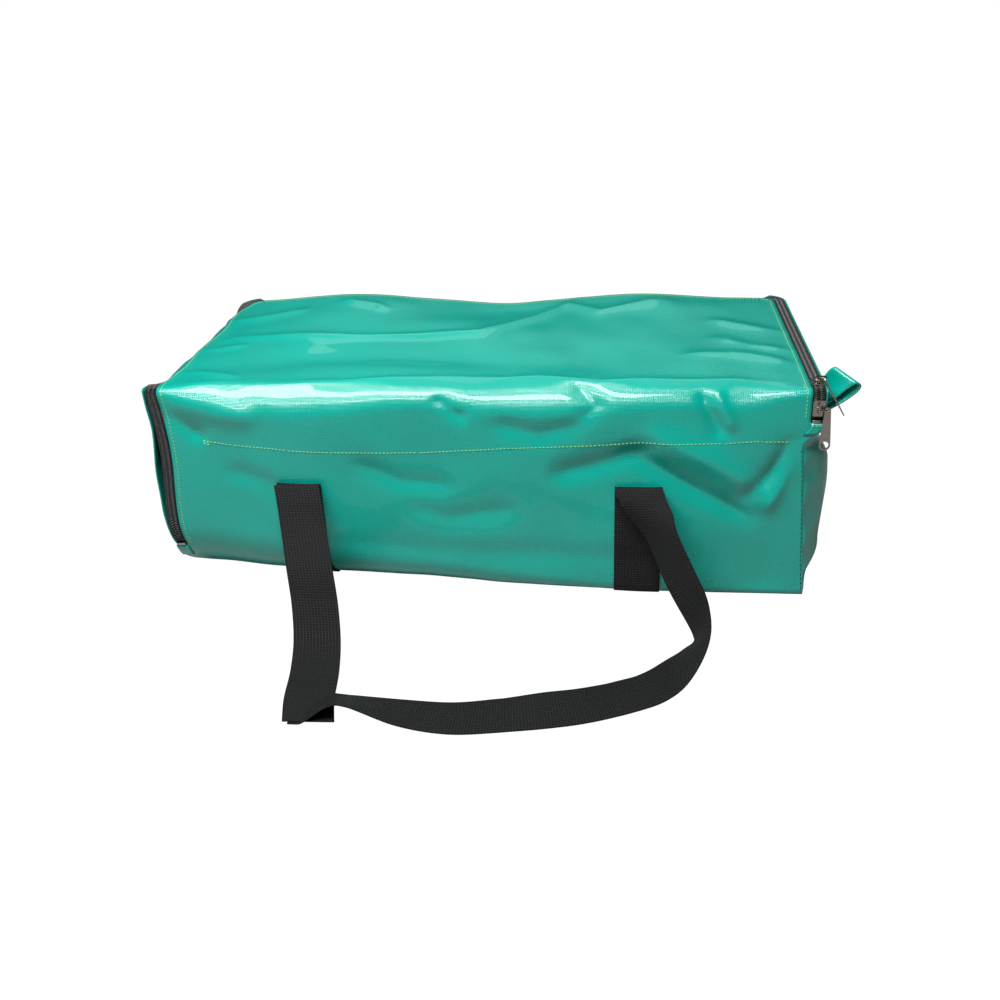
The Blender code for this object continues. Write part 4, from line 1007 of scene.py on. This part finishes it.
@dataclass(frozen=True)
class Handles:
    """Two webbing handles and the four bands that they grow out of."""

    bag: Slump
    flap: FlapPanel
    body: BodyPanels
    xs: tuple[float, float]
    top: float
    width: float = 0.050
    thick: float = 0.0016

    def front_routes(self) -> tuple[list, list]:
        """The front handle on the floor before the bag: its left drop, and the rest."""
        left_x, right_x = self.xs
        top, y, mid = self.top, -self.bag.y_out - 0.0034, sum(self.xs) / 2

        def fold(x: float, lean: float) -> list:
            """The strap's turn over the top of its band."""
            return [((x, y + 0.0001, top - 0.012), (1, 0, 0)), ((x, y, top - 0.002), (1, 0, lean)),
                    ((x, y - 0.0016, top + 0.0012), (1, 0, lean)),
                    ((x, y - 0.0040, top + 0.0004), (1, 0, lean))]

        left = fold(left_x, 0.05) + [
            ((left_x + 0.004, y - 0.014, top - 0.011), (1, 0, 0.03)),
            ((left_x + 0.011, y - 0.033, top - 0.036), (1, 0, 0)),
            ((left_x + 0.024, y - 0.070, top - 0.064), (1, 0, 0)),
            ((left_x + 0.032, y - 0.092, top - 0.094), (1, 0, 0)),
            ((left_x + 0.039, y - 0.121, 0.012), (1, 0, 0)),
            ((left_x + 0.046, y - 0.162, 0.003), (1, 0.02, 0)),
            ((left_x + 0.052, y - 0.207, 0.003), (1, 0.03, 0)),
            ((left_x + 0.060, y - 0.242, 0.003), (1, 0.03, 0)),
        ]
        rest = fold(right_x, 0.05) + [
            ((right_x + 0.006, y - 0.015, top - 0.011), (1, -0.1, 0.05)),
            ((right_x + 0.022, y - 0.030, top - 0.036), (0.62, -0.62, 0.48)),
            ((right_x + 0.043, y - 0.060, top - 0.073), (0.58, -0.60, 0.55)),
            ((right_x + 0.064, y - 0.091, 0.024), (0.24, -0.34, 0.90)),
            ((right_x + 0.056, y - 0.123, 0.016), (0.45, -0.62, 0.62)),
            ((right_x + 0.035, y - 0.152, 0.006), (0.52, -0.82, 0.20)),
            ((right_x + 0.015, y - 0.172, 0.003), (0.48, -0.87, 0.06)),
            ((right_x - 0.010, y - 0.185, 0.001), (0.40, -0.92, 0.02)),
            ((right_x - 0.051, y - 0.203, 0.002), (0.22, -0.97, -0.04)),
            ((right_x - 0.087, y - 0.213, 0.0025), (0.15, -0.99, -0.07)),
            ((mid + 0.054, y - 0.221, 0.001), (0.08, -1, 0)),
            ((mid + 0.009, y - 0.229, 0.002), (0, -1, 0.06)),
            ((mid - 0.038, y - 0.227, 0.005), (0, -0.97, 0.17)),
            ((left_x + 0.098, y - 0.221, 0.012), (0, -0.90, 0.43)),
            ((left_x + 0.078, y - 0.219, 0.010), (0, -0.90, 0.38)),
            ((left_x + 0.052, y - 0.219, 0.001), (0, -1, 0.02)),
            ((left_x + 0.040, y - 0.219, 0.001), (0, -1, 0)),
        ]
        return left, rest

    def rear_route(self) -> list:
        """The rear handle dropped behind the bag, on its edge along the floor."""
        left_x, right_x = self.xs
        top, y = self.top, self.bag.y_out + 0.0034
        ends = []
        for x, s in ((left_x, -1), (right_x, 1)):
            ends.append([
                ((x, y - 0.0001, top - 0.012), (s, 0, 0)), ((x, y, top - 0.002), (s, 0, 0)),
                ((x, y + 0.0016, top + 0.0012), (s, 0, 0)), ((x, y + 0.0040, top + 0.0004), (s, 0, 0)),
                ((x + s * 0.002, y + 0.026, top - 0.014), (s, 0, 0)),
                ((x + s * 0.006, y + 0.062, top - 0.058), (s * 0.95, 0.3, 0)),
                ((x + s * 0.002, y + 0.092, 0.034), (s * 0.6, 0.55, 0.58)),
                ((x - s * 0.028, y + 0.118, 0.0265), (s * 0.15, 0.3, 0.94)),
                ((x - s * 0.085, y + 0.131, 0.0265), (0, 0.22, 0.97)),
            ])
        middle = [((sum(self.xs) / 2, y + 0.135, 0.0265), (0, 0.20, 0.98))]
        return ends[0] + middle + ends[1][::-1]

    def dress(self, piece: bpy.types.Object, stands_for: str) -> None:
        """Give a strap its thickness and bevelled edges, hide the CAD node that it stands for, and bake its
        placement.
        """
        thicken(piece, self.thick, 0.0)
        rim = piece.modifiers.new("Selvedge", "BEVEL")
        rim.width, rim.segments, rim.limit_method, rim.angle_limit = 0.0004, 2, "ANGLE", radians(50)
        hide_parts(stands_for)
        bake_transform(piece)

    def build(self) -> None:
        """Lay the handles and the bands."""
        left, rest = self.front_routes()
        first, left_length = strap_mesh(left, self.width, 0.0011)
        second, rest_length = strap_mesh(rest, self.width, 0.0011)
        piece = finished("front_handle_webbing", joined(first, second), WEBBING)
        self.dress(piece, "front_handle")
        bm, length = strap_mesh(self.rear_route(), self.width, 0.0011)
        self.dress(finished("rear_handle_webbing", bm, WEBBING), "rear_handle")
        half, count = self.width / 2, spaced((0.0022, self.top), 0.003)
        middle = self.body.wrap() / 2
        for x, name in zip(self.xs, ("left", "right")):
            across = np.linspace(x - half, x + half, 13)
            front = sheet_piece(f"front_{name}_band_webbing", across, count,
                                lambda a, v: self.flap.place(a, v, BAND_OFF), self.thick, WEBBING)
            rear = sheet_piece(f"rear_{name}_band_webbing", middle - across[::-1], count,
                               lambda a, v: self.body.back_place(a, v, BAND_OFF), self.thick, WEBBING)
            for band, side in ((front, "front"), (rear, "rear")):
                fix(band, f"{side}_{name}_band")


# ---- corner fittings ----------------------------------------------------
@dataclass(frozen=True)
class CornerFittings:
    """Grab loop, D-ring strap, zip facings and the inside trim."""

    bag: Slump
    flap: FlapPanel
    body: BodyPanels
    loop_w: float = 0.030
    cloth: float = 0.0012

    def grab_loop(self) -> bpy.types.Object:
        """A strap folded back on itself, pulled askew, sewn by both ends to the right end."""
        low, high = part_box("grab_loop")
        x, y, z = low.x + 0.0012, (low.y + high.y) / 2, low.z
        route = [
            ((x, y, z), (0, -1, 0)), ((x + 0.0022, y - 0.001, z + 0.011), (0.10, -1, -0.05)),
            ((x + 0.0085, y - 0.006, z + 0.026), (0.45, -0.85, -0.22)),
            ((x + 0.0150, y - 0.011, z + 0.037), (0.66, -0.70, -0.33)),
            ((x + 0.0195, y - 0.013, z + 0.0405), (0.70, -0.66, -0.36)),
            ((x + 0.0235, y - 0.0115, z + 0.0375), (0.70, -0.66, -0.36)),
            ((x + 0.0225, y - 0.0085, z + 0.030), (0.62, -0.74, -0.30)),
            ((x + 0.0145, y - 0.0035, z + 0.016), (0.32, -0.93, -0.12)),
            ((x + 0.0050, y - 0.0005, z + 0.004), (0.05, -1, 0)), ((x + 0.0026, y, z - 0.001), (0, -1, 0)),
        ]
        bm, length = strap_mesh(route, self.loop_w, 0.0, 0.0015)
        loop = finished("grab_loop_strap", bm, TARPAULIN)
        thicken(loop, 0.0018, 0.0)
        fix(loop, "grab_loop")
        return loop

    def ring_strap(self) -> bpy.types.Object:
        """A narrow strap wrapped under the D-ring's straight bar."""
        low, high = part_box("d_ring_chape")
        ring_low, ring_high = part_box("d_ring")
        y, x, z = (low.y + high.y) / 2, (ring_low.x + ring_high.x) / 2, ring_high.z - 0.0007
        radius = 0.0022
        route = [((low.x + 0.0006, y, high.z), (0, -1, 0)), ((low.x + 0.0006, y, z + 0.002), (0, -1, 0))]
        for t in np.linspace(0.1, 0.9, 7) * pi:
            route.append(((x - radius * cos(t), y, z - radius * sin(t)), (0, -1, 0)))
        route += [((x + radius, y, z + 0.002), (0, -1, 0)), ((x + radius * 0.8, y, high.z), (0, -1, 0))]
        bm, length = strap_mesh(route, high.y - low.y, 0.0, 0.0008)
        strap = finished("d_ring_strap", bm, TARPAULIN)
        thicken(strap, 0.0010, 0.0)
        fix(strap, "d_ring_chape")
        return strap

    def facings(self) -> None:
        """Cloth sewn over both ends of the zip, and the hem facing inside the front."""
        bag = self.bag
        for side, top in ((Side.LEFT, bag.left_end), (Side.RIGHT, bag.right_end)):
            xs = sorted((side.value * (bag.lid_x + 0.0002), side.value * bag.x_out))
            name = f"{side.name.lower()}_zip_facing"
            heights = np.linspace(top - 0.013, top - 0.0004, 6)
            piece = sheet_piece(f"{name}_cloth", np.linspace(*xs, 6), heights,
                                lambda a, v: self.flap.place(a, v, FACING_OFF), self.cloth, TARPAULIN)
            fix(piece, name)
        low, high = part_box("front_inner_facing")
        piece = sheet_piece("inside_hem_facing",
                            spaced((low.x, high.x), 0.006), spaced((low.z, high.z), 0.006),
                            lambda a, v: self.flap.place(a, v, -0.0018), 0.0009, TARPAULIN_BACK)
        fix(piece, "front_inner_facing")

    def bindings(self) -> None:
        """Woven tape bound over the seam allowances inside."""
        bag, body, inside = self.bag, self.body, -0.0034
        band = np.linspace(0.0030, 0.0130, 4)

        def inwards(where: Callable, way: tuple[float, float, float]) -> Callable:
            """Shift a panel's place to just inside its cloth."""
            return lambda a, v: where(a, v) + np.array(way)

        whole = body.wrap()
        depth = spaced((-bag.y_out + 0.004, body.back_seam), 0.006)
        bm = panel_grid(spaced((-bag.x_out + 0.004, bag.x_out - 0.004), 0.006), band)
        shape(bm, lambda a, v: self.flap.place(a, v, inside))
        pieces = ((spaced((0, whole), 0.006), band, lambda a, v: body.back_place(a, v, inside)),
                  (depth, band, inwards(body.right_place, (inside, 0, 0))),
                  (-depth[::-1], band, inwards(body.left_place, (-inside, 0, 0))))
        for across, along, where in pieces:
            strip = panel_grid(across, along)
            shape(strip, where)
            bm = joined(bm, strip)
        ring = finished("base_seam_tape", bm, BINDING)
        heights = spaced((0.014, bag.height - 0.022), 0.006)
        corners = [("front_right_seam", np.linspace(-bag.y_out + 0.006, -bag.y_out + 0.015, 4),
                    spaced((0.014, bag.right_end - 0.014), 0.006), inwards(body.right_place, (inside, 0, 0))),
                   ("back_right_seam", np.linspace(0.001, 0.010, 4), heights,
                    lambda a, v: body.back_place(a, v, inside)),
                   ("back_left_seam", np.linspace(whole - 0.010, whole - 0.001, 4), heights,
                    lambda a, v: body.back_place(a, v, inside))]
        made = [(ring, "base_seam_binding")]
        for name, across, along, where in corners:
            strip = panel_grid(across, along)
            shape(strip, where)
            made.append((finished(f"{name}_tape", strip, BINDING), f"{name}_binding"))
        for piece, stands_for in made:
            thicken(piece, 0.0008)
            fix(piece, stands_for)

    def base_lip(self) -> bpy.types.Object:
        """The raised seam where the front meets the base."""
        xs = spaced((-self.bag.x_out + 0.03, self.bag.x_out - 0.006), 0.004)

        def where(turn: np.ndarray, x: np.ndarray) -> np.ndarray:
            """Wrap the lip round the line of the seam."""
            seam = self.flap.place(x, np.full(x.shape, 0.0005), 0.0)
            thick = 0.0007 + 0.0010 * ramp(x, 0.10, 0.24)
            seam[:, 1] -= thick * np.cos(turn)
            seam[:, 2] = np.maximum(seam[:, 2] + 0.0016 + thick * np.sin(turn), 0.0003)
            return seam

        bm = panel_grid(np.linspace(0, 2 * pi, 9), xs)
        shape(bm, where)
        bmesh.ops.remove_doubles(bm, verts=bm.verts, dist=0.00005)
        bmesh.ops.recalc_face_normals(bm, faces=bm.faces)
        lip = finished("base_seam_lip", bm, TARPAULIN)
        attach(lip, "root")
        return lip

    def build(self) -> None:
        """Make every fitting."""
        self.grab_loop()
        self.ring_strap()
        self.facings()
        self.bindings()
        self.base_lip()


def dress_hardware() -> None:
    """Give the metal pieces of the frame their finish."""
    looks = {"front_slider": CASTING, "rear_slider": CASTING, "front_pull_tab": CASTING,
             "rear_pull_tab": CASTING, "front_pull_link": WIRE, "rear_pull_link": WIRE, "d_ring": WIRE}
    for name, look in looks.items():
        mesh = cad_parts[name].data
        mesh.materials.clear()
        mesh.materials.append(look.material())
        LOG.info("%s: %s", name, look.name)


# ---- studio -------------------------------------------------------------
Place = tuple[float, float, float]


@dataclass(frozen=True)
class Studio:
    """Pale floor, soft lights and the camera."""

    aim: Place = (-0.0025, 0.0, 0.0290)
    distance: float = 1.356
    pitch: float = radians(26.44)
    yaw: float = radians(-6.69)
    roll: float = radians(-2.35)
    lens: float = 38.99

    def camera(self) -> None:
        """Stand the camera at the front, a little to the right and above."""
        ahead = Vector((sin(self.yaw) * cos(self.pitch), cos(self.yaw) * cos(self.pitch), -sin(self.pitch)))
        right = Vector((cos(self.yaw), -sin(self.yaw), 0))
        up = right.cross(ahead)
        side, top = cos(self.roll) * right + sin(self.roll) * up, cos(self.roll) * up - sin(self.roll) * right
        turn = Matrix((side, top, -ahead)).transposed().to_4x4()
        turn.translation = Vector(self.aim) - ahead * self.distance
        data = bpy.data.cameras.new("camera")
        data.lens, data.sensor_width = self.lens, 36.0
        made = bpy.data.objects.new("camera", data)
        made.matrix_world = turn
        bpy.context.scene.collection.objects.link(made)
        bpy.context.scene.camera = made

    def soft_box(self, name: str, place: Place, aim: Place, size: tuple[float, float],
                 power: float) -> None:
        """A rectangular soft light at a place, turned to what it lights."""
        data = bpy.data.lights.new(name, "AREA")
        data.shape, data.size, data.size_y, data.energy = "RECTANGLE", *size, power
        made = bpy.data.objects.new(name, data)
        made.location = place
        made.rotation_mode = "QUATERNION"
        made.rotation_quaternion = (Vector(aim) - Vector(place)).to_track_quat("-Z", "Y")
        bpy.context.scene.collection.objects.link(made)

    def build(self) -> None:
        """Set out the floor, lights, surround and camera."""
        bm = bmesh.new()
        bmesh.ops.create_grid(bm, x_segments=1, y_segments=1, size=12)
        bmesh.ops.translate(bm, vec=(0, 0, -0.0004), verts=bm.verts)
        floor = finished("studio_floor", bm, PAPER)
        self.soft_box("overhead", (-0.30, -0.72, 1.50), (0.0, -0.10, 0.20), (1.15, 0.40), 47)
        self.soft_box("front_strip", (-0.50, -1.25, 1.15), (-0.10, -0.17, 0.22), (0.75, 0.09), 3.4)
        self.soft_box("back_top", (0.1, 1.3, 1.5), (0, 0, 0.1), (1.6, 0.6), 5)
        world = bpy.data.worlds.new("surround")
        world.use_nodes = True
        tree = world.node_tree
        path = node(tree, "LightPath").outputs
        dim = node(tree, "Mix", {"Factor": path["Is Glossy Ray"], "A": 0.13, "B": 0.03}).outputs["Result"]
        seen = node(tree, "Mix", {"Factor": path["Is Camera Ray"], "A": dim, "B": 1.0}).outputs["Result"]
        surround = tree.nodes["Background"]
        surround.inputs["Color"].default_value = (1, 1, 1, 1)
        tree.links.new(seen, surround.inputs["Strength"])
        bpy.context.scene.world = world
        bpy.context.scene.view_settings.view_transform = "Standard"
        self.camera()


def main() -> None:
    """Build the bag's looks in order, then the studio."""
    logging.basicConfig(level=logging.INFO, format="%(name)s: %(message)s")
    base_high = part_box("base_panel")[1]
    lid_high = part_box("lid_panel")[1]
    zip_x = lid_high.x + LID_TO_ZIP
    bag = Slump(x_out=base_high.x, y_out=base_high.y, height=lid_high.z, lid_x=lid_high.x, zip_x=zip_x,
                left_end=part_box("front_left_zip_tape")[0].z, right_end=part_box("front_right_zip_tape")[0].z)
    flap = FlapPanel(bag, lid_back=lid_high.y)
    body = BodyPanels(bag, flap, back_seam=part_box("back_panel")[0].y)
    flap.build()
    body.build()
    ZipChain(bag, back_y=lid_high.y + LID_TO_ZIP).build()
    sew_flap(flap, bag)
    sew_seam(flap, bag)
    bands = [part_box(f"front_{name}_band") for name in ("left", "right")]
    xs = tuple((low.x + high.x) / 2 for low, high in bands)
    Handles(bag, flap, body, xs=xs, top=bands[0][1].z).build()
    CornerFittings(bag, flap, body).build()
    dress_hardware()
    Studio().build()


if __name__ == "__main__":
    main()
